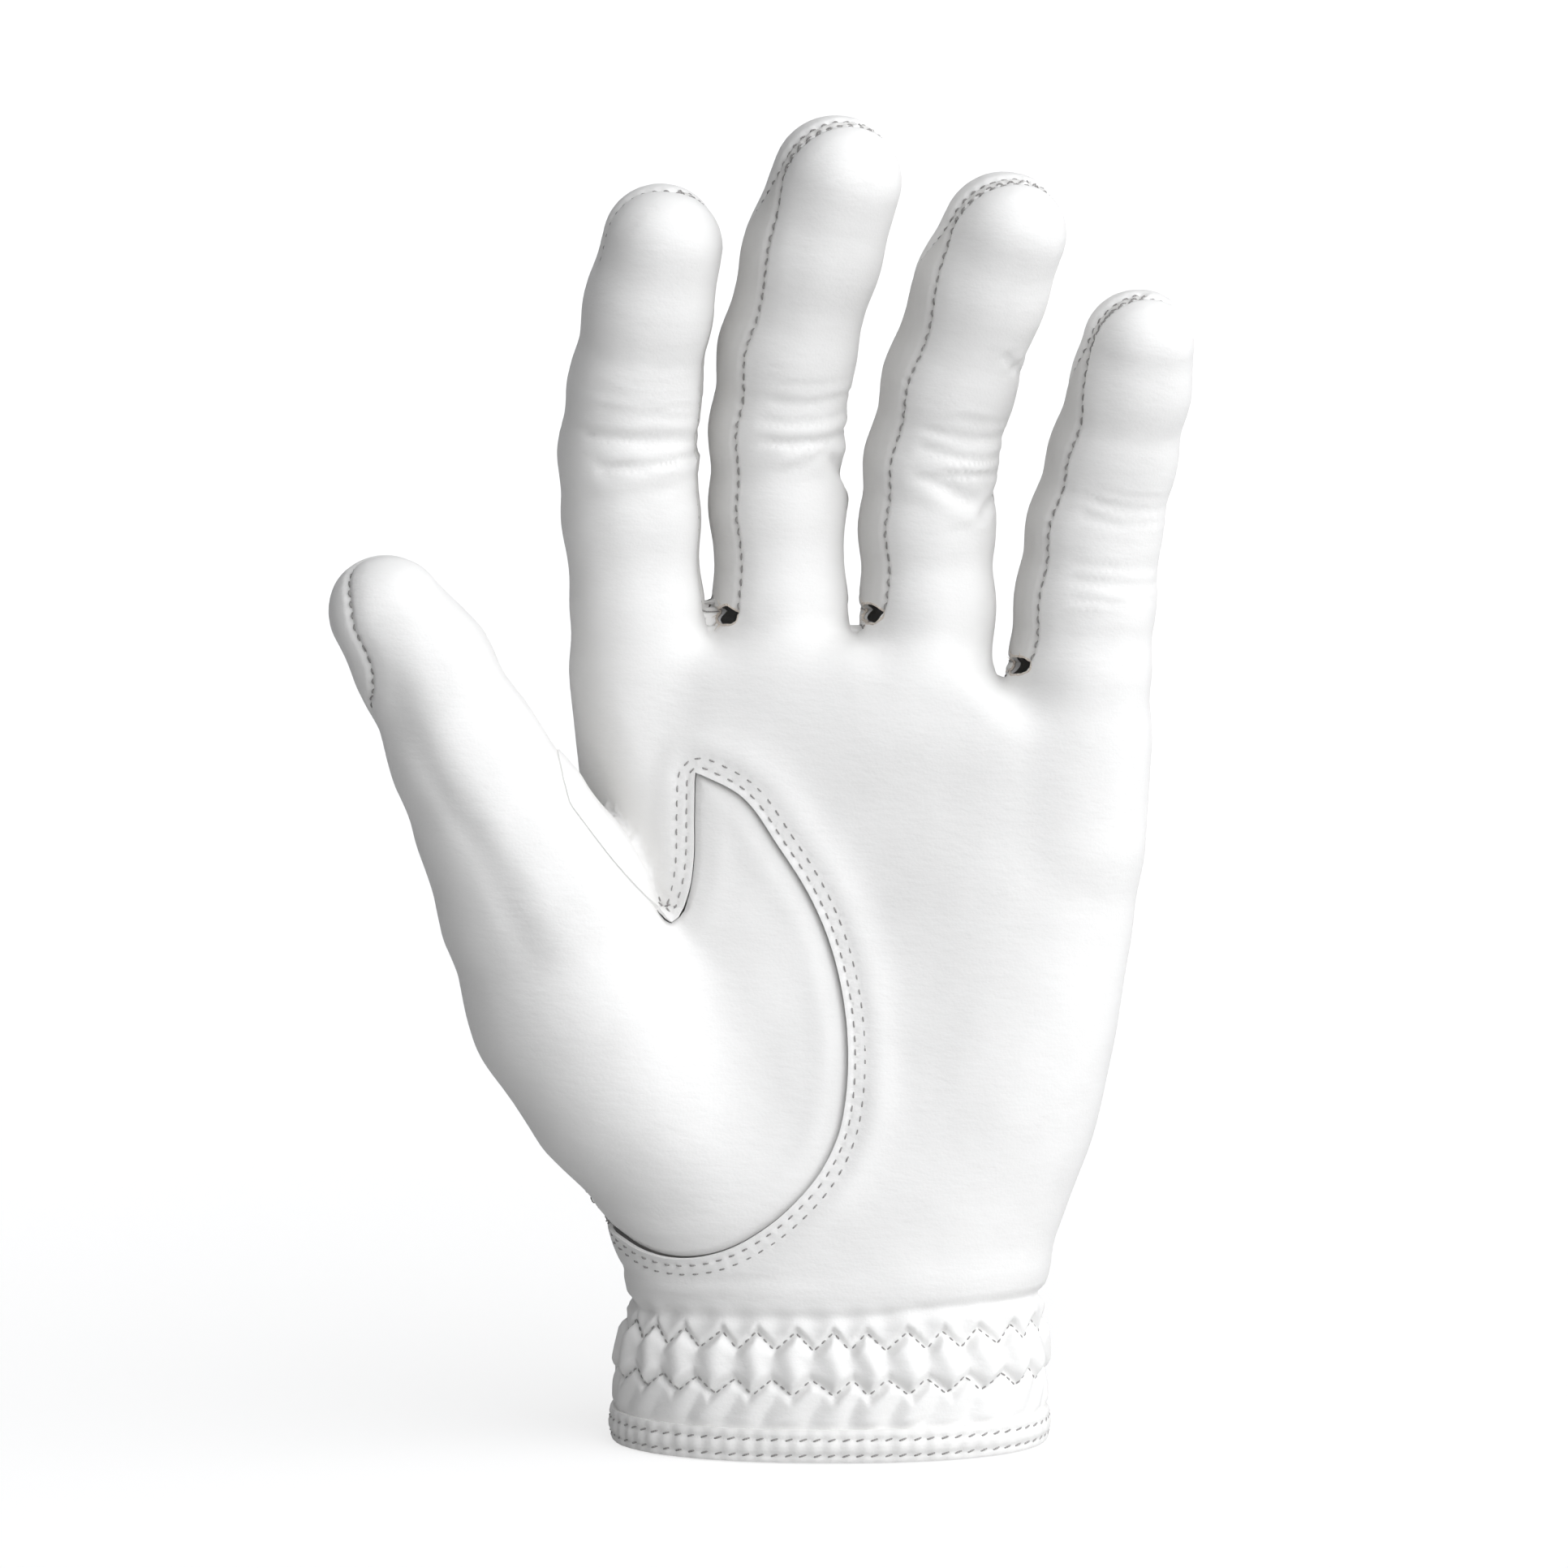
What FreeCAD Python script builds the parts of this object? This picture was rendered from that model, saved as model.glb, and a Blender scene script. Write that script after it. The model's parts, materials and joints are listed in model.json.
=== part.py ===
import FreeCAD, Part
import math
import os

# Left-hand golf glove, as worn: a hand-shaped leather shell, open at the wrist.
#
# Millimetres. +Z runs from the wrist opening to the fingertips, the palm faces -Y, the thumb points to
# -X, and the origin is the centre of the wrist opening at the hem.
#
# One hollow shell is made from an elliptical loft for the hand and tapered tubes for the digits. A panel
# of leather is that shell inside the panel's own cell, so neighbours meet along their seams. The shell
# folds at six lines. At each one a wedge of leather on the palm side is a sub-part of its own.

Vec = FreeCAD.Vector

# Driving dimensions, kept in the sheet under these names.
DIMENSIONS = {
    "leather": 0.8,
    "fold_gap": 0.5,           # between the two sides of a fold, at the back of the hand
    "crease_gap": 0.12,        # between a crease and the panels on both sides of it
    "layer_gap": 0.06,         # between a panel and what is sewn on it
    "knuckle_notch": 34.0,     # angle of the palm-side wedge
    "finger_notch": 44.0,
    "thumb_notch": 36.0,
    "gusset_width": 11.0,      # finger side strips, front to back
    "hem_height": 5.0,
    "hem_thickness": 0.9,
    "elastic_width": 5.0,
    "elastic_thickness": 0.7,
    "upper_elastic_z": 17.5,
    "lower_elastic_z": 8.5,
    "knuckle_elastic_z": 90.0,
    "knuckle_elastic_start": -24.0,
    "knuckle_elastic_length": 56.0,
    "slit_length": 56.0,
    "slit_width": 7.0,
    "slit_x": 2.0,
    "binding_width": 3.2,
    "binding_thickness": 0.7,
    "tab_length": 47.0,
    "tab_height": 27.0,
    "tab_z": 10.0,
    "tab_sewn_x": -20.0,
    "tab_anchor_length": 8.0,
    "tab_thickness": 1.4,
    "tab_lift": 2.6,           # from the back panel to the underside of the tab
    "tab_lining_thickness": 0.5,
    "pad_height": 19.0,
    "pad_z": 14.0,
    "pad_x": 9.0,
    "hook_length": 13.0,
    "loop_length": 18.0,
    "pad_thickness": 0.85,
}

# Sections of the hand: height, centre in X, half width, half depth. The first is just below the hem.
HAND_SECTIONS = {
    "foot": (-1.0, 1.0, 36.2, 23.5),
    "wrist": (24.0, 1.8, 34.8, 21.5),
    "heel": (48.0, 3.0, 41.0, 19.5),
    "palm": (78.0, 4.5, 45.0, 17.0),
    "knuckle": (108.0, 5.2, 47.0, 15.0),
    "web": (136.0, 5.4, 46.6, 11.5),
}

# Each finger: centre at its base, at its middle joint and in its rounded tip, the radii there, the
# twist of its palm side towards +X in degrees, and the sides that have a gusset.
FINGERS = {
    "index": ((-30.7, 0, 118), (-32.4, -1, 167), (-26.4, -13, 198.6), (11.2, 10.8, 9.9), 18, (1,)),
    "middle": ((-7.3, 0, 118), (-8.6, -1, 167), (1.0, -15, 209.0), (11.1, 11.0, 10.4), 25, (-1, 1)),
    "ring": ((17.0, 0, 116), (17.0, -1, 163), (28.5, -14, 200.0), (11.0, 10.8, 9.9), 25, (-1, 1)),
    "little": ((40.6, 0, 108), (42.9, -1, 147), (50.4, -11, 181.6), (10.8, 10.2, 9.2), 19, (-1,)),
}
BEND_TWIST = 10                # twist of the fingers' bending direction towards +X, in degrees

# The thumb: heel of the mound, base of the thumb, joint and rounded tip, and the radii there.
THUMB_POINTS = ((-22.0, -4, 44), (-44.0, -8, 86), (-57.2, -13.8, 111.4), (-71.7, -20, 139.4))
THUMB_RADII = {"heel": 17.0, "mound": 17.4, "base": 15.6, "joint": 12.6, "tip": 9.2}
THUMB_TWIST = 20
THUMB_FOLD_TWIST = 35

KNUCKLE_CENTRE = Vec(5.0, 0.0, 115.0)
KNUCKLE_UP = Vec(0.165, 0.0, 0.986)
KNUCKLE_DEPTH = 15.2           # from the knuckle line to the back of the hand

# The round edge of the thumb panel on the palm, and the notch where the palm panel laps over it.
MOUND_CENTRE = Vec(-34.0, 0.0, 73.0)
MOUND_HALF_SIZES = (40.0, 37.5)
NOTCH_FOOT = Vec(-25.7, 0.0, 87.5)
NOTCH_INNER_SIDE = Vec(-0.988, 0.0, 0.156)
NOTCH_WEB_SIDE = Vec(0.793, 0.0, 0.609)
THUMB_BACK_LINE = (Vec(-39.5, 0.0, 72.0), Vec(-0.998, 0.0, 0.06))

FAR = 400.0                    # larger than the glove
PALM = Vec(0, -1, 0)

doc = FreeCAD.newDocument("golf_glove")
sheet = doc.addObject("Spreadsheet::Sheet", "Dimensions")
subparts = []


def fill_sheet():
    rows = dict(DIMENSIONS)
    for section, (z, cx, rx, ry) in HAND_SECTIONS.items():
        rows.update({section + "_z": z, section + "_cx": cx, section + "_rx": rx, section + "_ry": ry})
    for finger, values in FINGERS.items():
        for place, radius in zip(("base", "joint", "tip"), values[3]):
            rows[finger + "_" + place + "_radius"] = radius
    for place, radius in THUMB_RADII.items():
        rows["thumb_" + place + "_radius"] = radius
    for row, (alias, value) in enumerate(rows.items(), start=1):
        sheet.set("A" + str(row), alias)
        sheet.set("B" + str(row), str(value))
        sheet.setAlias("B" + str(row), alias)
    doc.recompute()


def size(alias):
    return float(sheet.get(alias))


def bind(obj, **expressions):
    for prop, expression in expressions.items():
        obj.setExpression(prop, expression)
    return obj


def add(kind, name, **values):
    obj = doc.addObject(kind, name)
    for prop, value in values.items():
        setattr(obj, prop, value)
    return obj


def common(name, *shapes):
    return add("Part::MultiCommon", name, Shapes=list(shapes))


def fuse(name, *shapes):
    return add("Part::MultiFuse", name, Shapes=list(shapes))


def cut(name, base, *tools):
    """base less every tool, one after another."""
    for number, tool in enumerate(tools, start=1):
        last = number == len(tools)
        base = add("Part::Cut", name if last else name + "_cut" + str(number), Base=base, Tool=tool)
    return base


def keep(obj, label):
    """Marks an object of the document as a sub-part."""
    obj.Label = label
    subparts.append(obj)
    return obj


def frame_at(point, along, towards=PALM):
    """A placement at point whose +Z runs along, and whose -Y faces towards as nearly as it can."""
    z = Vec(along).normalize()
    y = Vec(towards) * -1
    y = (y - z * y.dot(z)).normalize()
    return FreeCAD.Placement(Vec(point), FreeCAD.Rotation(y.cross(z), y, z, "ZXY"))


def palm_side(twist):
    """The direction of a digit's palm side, for a twist in degrees towards +X."""
    return Vec(math.sin(math.radians(twist)), -math.cos(math.radians(twist)), 0)


def block(name, placement, corner, width, depth, height):
    """A box from a corner, in a local frame."""
    box = add("Part::Box", name, Length=width, Width=depth, Height=height)
    box.Placement = placement.multiply(FreeCAD.Placement(Vec(*corner), FreeCAD.Rotation()))
    return box


def half_space(name, point, normal, towards=PALM):
    """A large box on the side of a plane that the normal points to."""
    return block(name, frame_at(point, normal, towards), (-FAR / 2, -FAR / 2, 0), FAR, FAR, FAR)


# ---------------------------------------------------------------- hand and digits as solid forms

def hand_loft(name, offset):
    """A loft through the hand's sections, grown outwards by an expression in millimetres."""
    rings = []
    for section in HAND_SECTIONS:
        ring = add("Part::Ellipse", name + "_" + section)
        sheet_name = "Dimensions." + section
        bind(ring, MajorRadius=f"{sheet_name}_rx + {offset}", MinorRadius=f"{sheet_name}_ry + {offset}")
        shift = f"+ {offset}" if section == "web" else ""
        bind(ring, **{".Placement.Base.x": sheet_name + "_cx", ".Placement.Base.z": f"{sheet_name}_z {shift}"})
        rings.append(ring)
    return add("Part::Loft", name, Sections=rings, Solid=True, Ruled=False)


def tube(name, start, end, radius_start, radius_end, offset):
    """A cone between two points with a ball at its end. The radii are names in the sheet."""
    start, end = Vec(*start), Vec(*end)
    cone = add("Part::Cone", name + "_cone", Height=(end - start).Length, Placement=frame_at(start, end - start))
    bind(cone, Radius1=f"Dimensions.{radius_start} + {offset}", Radius2=f"Dimensions.{radius_end} + {offset}")
    ball = add("Part::Sphere", name + "_ball", Placement=frame_at(end, end - start))
    bind(ball, Radius=f"Dimensions.{radius_end} + {offset}")
    return [cone, ball]


def lower_forms(name, offset):
    """The parts of the digits that are joined to the hand."""
    forms = []
    for finger, (base, joint, *_) in FINGERS.items():
        radii = (f"{finger}_base_radius", f"{finger}_joint_radius")
        forms += tube(f"{name}_{finger}", base, joint, *radii, offset)
    heel, base, _, tip = THUMB_POINTS
    heel_ball = add("Part::Sphere", name + "_heel", Placement=frame_at(heel, Vec(*base) - Vec(*heel)))
    bind(heel_ball, Radius=f"Dimensions.thumb_heel_radius + {offset}")
    forms.append(heel_ball)
    forms += tube(name + "_mound", heel, base, "thumb_heel_radius", "thumb_mound_radius", offset)
    forms += tube(name + "_thumb", base, tip, "thumb_base_radius", "thumb_tip_radius", offset)
    return forms


def digit_shell(name, points, radii):
    """The hollow tube of one digit, from its base to its rounded tip."""
    skins = []
    for skin, offset in (("outer", "0"), ("inner", "-Dimensions.leather")):
        forms = []
        for number, ends in enumerate(zip(points, points[1:], radii, radii[1:])):
            forms += tube(f"{name}_{skin}{number}", *ends, offset)
        skins.append(fuse(f"{name}_{skin}_form", *forms))
    return cut(name + "_shell", *skins)


# ---------------------------------------------------------------- folds

def make_fold(name, pivot, along, towards, depth, notch):
    """Boxes below and above a fold, and the room of its crease. They meet at the back of the digit."""
    along = Vec(along).normalize()
    towards = (towards - along * towards.dot(along)).normalize()
    half = math.radians(size(notch)) / 2
    apex = Vec(*pivot) - towards * depth
    lower = along * -math.cos(half) + towards * -math.sin(half)
    upper = along * math.cos(half) + towards * -math.sin(half)
    gap, slack = size("fold_gap") / 2, size("crease_gap")
    below = (apex - along * gap, lower)
    above = (apex + along * gap, upper)
    room = [
        half_space(name + "_room_a", below[0] - lower * slack, lower * -1, towards),
        half_space(name + "_room_b", above[0] - upper * slack, upper * -1, towards),
        half_space(name + "_room_c", apex + towards * depth * 0.3, towards, along),
    ]
    return {"below": below, "above": above, "room": common(name + "_room", *room), "towards": towards}


def side_of(fold, side, name):
    point, normal = fold[side]
    return half_space(name, point, normal, fold["towards"])


def finger_fold(finger):
    base, joint, tip, radii, *_ = FINGERS[finger]
    lower = (Vec(*joint) - Vec(*base)).normalize()
    upper = (Vec(*tip) - Vec(*joint)).normalize()
    return make_fold(finger + "_fold", joint, lower + upper, palm_side(BEND_TWIST), radii[1], "finger_notch")


def thumb_fold():
    _, base, joint, tip = THUMB_POINTS
    depth = THUMB_RADII["joint"]
    return make_fold("thumb_fold", joint, Vec(*tip) - Vec(*base), palm_side(THUMB_FOLD_TWIST), depth, "thumb_notch")


# ---------------------------------------------------------------- leather panels

def finger_tip_panels(finger, fold):
    """Front, back and gussets of a finger above its middle joint, and the crease below them."""
    base, joint, tip, radii, twist, gusset_sides = FINGERS[finger]
    names = [f"{finger}_{place}_radius" for place in ("base", "joint", "tip")]
    shell = digit_shell(finger, (base, joint, tip), names)
    top = common(finger + "_top", shell, side_of(fold, "above", finger + "_above"))
    local = frame_at(joint, Vec(*tip) - Vec(*joint), palm_side(twist))
    width = size("gusset_width")
    gussets = []
    for side in gusset_sides:
        corner = (0 if side > 0 else -30, -width / 2, -30)
        gussets.append(block(f"{finger}_gusset_cell{len(gussets)}", local, corner, 30, width, 90))
    front = half_space(finger + "_front_cell", joint, local.Rotation.multVec(PALM), Vec(*tip) - Vec(*joint))
    back = half_space(finger + "_back_cell", joint, local.Rotation.multVec(PALM) * -1, Vec(*tip) - Vec(*joint))
    keep(cut(finger + "_front_panel", common(finger + "_front_half", top, front), *gussets), finger + "_front")
    keep(cut(finger + "_back_panel", common(finger + "_back_half", top, back), *gussets), finger + "_back")
    for side, cell in zip(gusset_sides, gussets):
        place = "outer" if side > 0 else "inner"
        keep(common(f"{finger}_{place}_strip", top, cell), f"{finger}_gusset_{place}")
    keep(common(finger + "_crease_panel", shell, fold["room"]), finger + "_crease")


def thumb_tip_panels(fold):
    _, base, joint, tip = THUMB_POINTS
    shell = digit_shell("thumb", (base, tip), ["thumb_base_radius", "thumb_tip_radius"])
    top = common("thumb_top", shell, side_of(fold, "above", "thumb_above"))
    along = Vec(*tip) - Vec(*base)
    normal = frame_at(joint, along, palm_side(THUMB_TWIST)).Rotation.multVec(PALM)
    for place, direction in (("front", normal), ("back", normal * -1)):
        cell = half_space(f"thumb_{place}_side", joint, direction, along)
        keep(common(f"thumb_{place}_top", top, cell), "thumb_tip_" + place)
    keep(common("thumb_crease_panel", shell, fold["room"]), "thumb_crease")


def cuts_above(folds):
    """For each digit, the room above the lower plane of its fold, no wider than the digit."""
    tools = []
    for digit, fold in folds.items():
        if digit == "thumb":
            base, joint = THUMB_POINTS[1], THUMB_POINTS[2]
            radius = THUMB_RADII["joint"]
        else:
            base, joint = FINGERS[digit][0], FINGERS[digit][1]
            radius = FINGERS[digit][3][1]
        point, normal = fold["below"]
        above = half_space(digit + "_lower_above", point, normal * -1, fold["towards"])
        half = radius + 0.3
        local = frame_at(joint, Vec(*joint) - Vec(*base), fold["towards"])
        column = block(digit + "_column", local, (-half, -30, -16), 2 * half, 60, 60)
        tools.append(common(digit + "_lower_cut", above, column))
    return tools


def thumb_cells():
    """Rooms of the thumb panel: on the palm, and on the back of the hand."""
    _, base, joint, tip = THUMB_POINTS
    along = Vec(*tip) - Vec(*base)
    normal = frame_at(joint, along, palm_side(THUMB_TWIST)).Rotation.multVec(PALM)
    ring = add("Part::Ellipse", "mound_outline", MajorRadius=MOUND_HALF_SIZES[0], MinorRadius=MOUND_HALF_SIZES[1])
    ring.Placement = FreeCAD.Placement(MOUND_CENTRE + Vec(0, FAR / 2, 0), FreeCAD.Rotation(Vec(0, 0, 1), Vec(-1, 0, 0), Vec(0, -1, 0), "ZXY"))
    mound = add("Part::Extrusion", "mound_column", Base=ring, DirMode="Custom", Dir=PALM, LengthFwd=FAR, Solid=True)
    outside = block("thumb_side", FreeCAD.Placement(), (-150, -150, 35), 150 + MOUND_CENTRE.x, 300, 150)
    notch_sides = [
        half_space("notch_inner", NOTCH_FOOT, NOTCH_INNER_SIDE),
        half_space("notch_web", NOTCH_FOOT, NOTCH_WEB_SIDE),
    ]
    whole = cut("thumb_columns", fuse("thumb_rooms", mound, outside), common("palm_notch", *notch_sides))
    front = common("thumb_front_room", whole, half_space("thumb_front_half", joint, normal, along))
    back_line = half_space("thumb_back_line", *THUMB_BACK_LINE)
    above_wrist = block("above_wrist", FreeCAD.Placement(), (-150, -150, 42), 300, 300, 300)
    back_half = half_space("thumb_back_half", joint, normal * -1, along)
    return front, common("thumb_back_room", back_line, above_wrist, back_half)


def slit_tool(name, grow, deep):
    """The opening slit in the back of the wrist: a slot with a round top, grown by an expression."""
    slot = add("Part::Box", name + "_slot", Height=1)
    bind(slot, Length=f"Dimensions.slit_width + 2 * ({grow})", Width=str(deep))
    bind(slot, Height="Dimensions.slit_length - Dimensions.slit_width / 2 + 5")
    bind(slot, **{".Placement.Base.x": f"Dimensions.slit_x - Dimensions.slit_width / 2 - ({grow})"})
    slot.Placement.Base.z = -5
    top = add("Part::Cylinder", name + "_round")
    top.Placement = FreeCAD.Placement(Vec(0, 0, 0), FreeCAD.Rotation(Vec(1, 0, 0), -90))
    bind(top, Radius=f"Dimensions.slit_width / 2 + {grow}", Height=str(deep))
    bind(top, **{".Placement.Base.x": "Dimensions.slit_x"})
    bind(top, **{".Placement.Base.z": "Dimensions.slit_length - Dimensions.slit_width / 2"})
    return fuse(name, slot, top)


def hand_panels(shell, knuckle, slit):
    """Palm, back and thumb panels below the knuckles, and the palm and backs of the fingers above them."""
    front = half_space("palm_half", (0, 0, 0), PALM, Vec(0, 0, 1))
    back = half_space("back_half", (0, 0, 0), PALM * -1, Vec(0, 0, 1))
    beside_thumb = half_space("beside_thumb", (-43.4, 0, 112), (1, 0, 0.02))
    point, normal = knuckle["below"]
    above_knuckle = half_space("above_knuckle", point, normal * -1)
    upper_room = common("upper_room", above_knuckle, beside_thumb)
    hand = cut("hand_shell", shell, upper_room)
    thumb_front, thumb_back = thumb_cells()
    thumb_front_low = common("thumb_front_low", hand, thumb_front)
    thumb_back_low = common("thumb_back_low", hand, thumb_back)
    keep(thumb_front_low, "thumb_panel")
    keep(thumb_back_low, "thumb_back")
    rest = cut("hand_rest", hand, thumb_front, thumb_back)
    keep(common("palm_low", rest, front), "palm_panel")
    keep(cut("back_low", common("back_low_half", rest, back), slit), "back_panel")
    fingers = common("finger_shell", shell, side_of(knuckle, "above", "knuckle_above"), beside_thumb)
    keep(common("knuckle_crease_panel", shell, knuckle["room"], beside_thumb), "knuckle_crease")
    return fingers, front, back


def finger_base_panels(fingers, front, back):
    """Between the knuckles and the middle joints: palm side, back side and three forked gussets."""
    width = size("gusset_width")
    forks = []
    order = list(FINGERS)
    for first, second in zip(order, order[1:]):
        left, right = FINGERS[first], FINGERS[second]
        low = max(HAND_SECTIONS["web"][0] - 4, 0)
        corner = (left[1][0] * 0.5 + left[0][0] * 0.5, -width / 2, low)
        reach = (right[1][0] + right[0][0]) / 2 - corner[0]
        forks.append(block(first + "_fork_cell", FreeCAD.Placement(), corner, reach, width, 60))
    keep(cut("finger_palms", common("finger_front_half", fingers, front), *forks), "finger_bases_front")
    keep(cut("finger_backs", common("finger_back_half", fingers, back), *forks), "finger_bases_back")
    for (first, second), cell in zip(zip(order, order[1:]), forks):
        keep(common(first + "_fork", fingers, cell), f"{first}_{second}_gusset")


# ---------------------------------------------------------------- cuff, elastics and closure

def layer(name, low, high):
    """The space between two skins around the hand, by their expressions of distance from its surface."""
    return cut(name, hand_loft(name + "_out", high), hand_loft(name + "_in", low))


def band_box(name, z, height, x="-200", length="400", y=-200.0, depth=400.0):
    box = add("Part::Box", name)
    box.Placement.Base.y = y
    box.Width = depth
    bind(box, Length=length, Height=height)
    bind(box, **{".Placement.Base.x": x, ".Placement.Base.z": z})
    return box


def cuff_parts(slit):
    gap = "Dimensions.layer_gap"
    hem_layer = layer("hem_layer", gap, "Dimensions.hem_thickness")
    hem_band = band_box("hem_band", "0", "Dimensions.hem_height")
    keep(cut("hem_strip", common("hem_ring", hem_layer, hem_band), slit), "hem_binding")
    lining = f"-Dimensions.leather - {gap}"
    inside = layer("elastic_layer", f"{lining} - Dimensions.elastic_thickness", lining)
    for place in ("upper", "lower"):
        z = f"Dimensions.{place}_elastic_z - Dimensions.elastic_width / 2"
        band = band_box(place + "_band", z, "Dimensions.elastic_width", y=-200, depth=198)
        keep(common(place + "_strip", inside, band), place + "_wrist_elastic")
    start, length = "Dimensions.knuckle_elastic_start", "Dimensions.knuckle_elastic_length"
    band = band_box("knuckle_band", "Dimensions.knuckle_elastic_z", "Dimensions.elastic_width", start, length, 2, 198)
    keep(common("knuckle_strip", inside, band), "knuckle_elastic")


def slit_binding(slit):
    skin = layer("binding_layer", "Dimensions.layer_gap", "Dimensions.binding_thickness")
    wide = slit_tool("slit_grown", "Dimensions.binding_width", 60)
    above_hem = band_box("above_hem", "Dimensions.hem_height + 0.2", "200")
    strip = cut("binding_strip", common("binding_skin", skin, wide, above_hem), slit)
    keep(strip, "slit_binding")


def tab_outline(name, start, end_x, z, height, length):
    """A strip across the back of the wrist, square at its start and round at its free end."""
    straight = band_box(name + "_straight", z, height, start, f"{length} - {height} / 2", 0, 80)
    end = add("Part::Cylinder", name + "_end", Height=80)
    end.Placement.Rotation = FreeCAD.Rotation(Vec(1, 0, 0), -90)
    bind(end, Radius=f"{height} / 2")
    bind(end, **{".Placement.Base.x": f"{end_x} - {height} / 2", ".Placement.Base.z": f"{z} + {height} / 2"})
    return fuse(name, straight, end)


def closure_parts():
    sewn, length, height = "Dimensions.tab_sewn_x", "Dimensions.tab_length", "Dimensions.tab_height"
    lift, lining = "Dimensions.tab_lift", "Dimensions.tab_lining_thickness"
    outline = tab_outline("tab_outline", sewn, f"{sewn} + {length}", "Dimensions.tab_z", height, length)
    gap = "Dimensions.layer_gap"
    top = layer("tab_layer", f"{lift} + {lining} + {gap}", f"{lift} + Dimensions.tab_thickness")
    keep(common("tab_top", top, outline), "closure_tab")
    under = layer("lining_layer", lift, f"{lift} + {lining}")
    inner = tab_outline("lining_outline", f"{sewn} + 1", f"{sewn} + {length} - 1",
                        "Dimensions.tab_z + 1", f"({height} - 2)", f"({length} - 2)")
    keep(common("tab_under", under, inner), "tab_lining")
    anchor_start = f"{sewn} - Dimensions.tab_anchor_length - 0.3"
    anchor_box = band_box("anchor_box", "Dimensions.tab_z", height, anchor_start, "Dimensions.tab_anchor_length", 0, 80)
    anchor_layer = layer("anchor_layer", gap, f"{lift} + Dimensions.tab_thickness")
    keep(common("anchor", anchor_layer, anchor_box), "tab_anchor")
    hook = layer("hook_layer", f"{lift} - Dimensions.pad_thickness", f"{lift} - {gap}")
    loop = layer("loop_layer", gap, "Dimensions.pad_thickness")
    end = "Dimensions.pad_x"
    for place, skin, pad_length in (("hook", hook, "hook_length"), ("loop", loop, "loop_length")):
        box = band_box(place + "_box", "Dimensions.pad_z", "Dimensions.pad_height", end, "Dimensions." + pad_length, 0, 80)
        keep(common(place, skin, box), place + "_pad")


def make_glove():
    folds = {finger: finger_fold(finger) for finger in FINGERS}
    folds["thumb"] = thumb_fold()
    knuckle = make_fold("knuckle_fold", tuple(KNUCKLE_CENTRE), KNUCKLE_UP, PALM, KNUCKLE_DEPTH, "knuckle_notch")
    outer = fuse("outer_form", hand_loft("outer_hand", "0"), *lower_forms("outer", "0"))
    inside = "-Dimensions.leather"
    inner = fuse("inner_form", hand_loft("inner_hand", inside), *lower_forms("inner", inside))
    above_hem_plane = half_space("above_hem_plane", (0, 0, 0), Vec(0, 0, 1))
    shell = cut("shell", common("whole_shell", cut("closed_shell", outer, inner), above_hem_plane), *cuts_above(folds))
    slit = slit_tool("slit", "0", 60)
    fingers, front, back = hand_panels(shell, knuckle, slit)
    finger_base_panels(fingers, front, back)
    for finger in FINGERS:
        finger_tip_panels(finger, folds[finger])
    thumb_tip_panels(folds["thumb"])
    cuff_parts(slit)
    slit_binding(slit)
    closure_parts()


def check_document():
    for obj in doc.Objects:
        if "Invalid" in obj.State or "Error" in obj.State:
            raise RuntimeError(f"{obj.Name} did not compute: {obj.State}")
    for obj in subparts:
        shape = obj.Shape
        if shape.isNull() or not shape.isValid() or shape.Volume <= 0 or not shape.Solids:
            raise RuntimeError(f"{obj.Label} has no valid solid")


def write_parts():
    os.makedirs("parts", exist_ok=True)
    for obj in subparts:
        obj.Shape.exportStep(f"parts/{obj.Label}.step")


fill_sheet()
make_glove()
doc.recompute()
check_document()
write_parts()
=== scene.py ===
import json
import math

import bpy
import numpy as np
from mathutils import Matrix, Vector, kdtree

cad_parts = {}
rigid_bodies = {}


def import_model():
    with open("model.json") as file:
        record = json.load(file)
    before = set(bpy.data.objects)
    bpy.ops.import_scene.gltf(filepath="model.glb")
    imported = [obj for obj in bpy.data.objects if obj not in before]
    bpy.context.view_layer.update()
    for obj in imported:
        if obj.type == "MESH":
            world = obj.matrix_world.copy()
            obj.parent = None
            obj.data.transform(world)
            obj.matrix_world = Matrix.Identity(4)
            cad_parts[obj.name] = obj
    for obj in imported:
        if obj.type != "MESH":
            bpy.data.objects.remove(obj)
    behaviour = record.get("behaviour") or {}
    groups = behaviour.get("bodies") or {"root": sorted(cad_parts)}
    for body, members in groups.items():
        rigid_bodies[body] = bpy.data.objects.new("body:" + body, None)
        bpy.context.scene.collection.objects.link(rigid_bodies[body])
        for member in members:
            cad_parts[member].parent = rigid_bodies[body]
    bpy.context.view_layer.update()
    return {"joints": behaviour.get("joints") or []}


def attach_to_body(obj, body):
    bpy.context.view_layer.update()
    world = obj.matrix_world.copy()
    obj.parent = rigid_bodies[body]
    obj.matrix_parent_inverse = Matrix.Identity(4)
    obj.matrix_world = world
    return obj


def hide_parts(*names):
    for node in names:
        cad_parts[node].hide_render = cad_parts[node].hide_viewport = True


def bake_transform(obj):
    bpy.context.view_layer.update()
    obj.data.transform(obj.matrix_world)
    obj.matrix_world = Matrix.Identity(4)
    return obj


# A left-hand golf glove, filled as if worn. All lengths below are millimetres in the row frame.
# The outer surface is one smooth implicit form. It is meshed, cut along the seams into leather
# panels, given its grooves, laps, creases and gathers, and each panel gets a real thickness.

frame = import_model()

MM = 0.001
LEATHER = 0.65
rng = np.random.default_rng(7)


# ------------------------------------------------------------------ curves and small helpers

def smoothstep(a, b, x):
    t = np.clip((x - a) / (b - a), 0, 1)
    return t * t * (3 - 2 * t)


def bump(x, width):
    return np.exp(-(x / width) ** 2)


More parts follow.
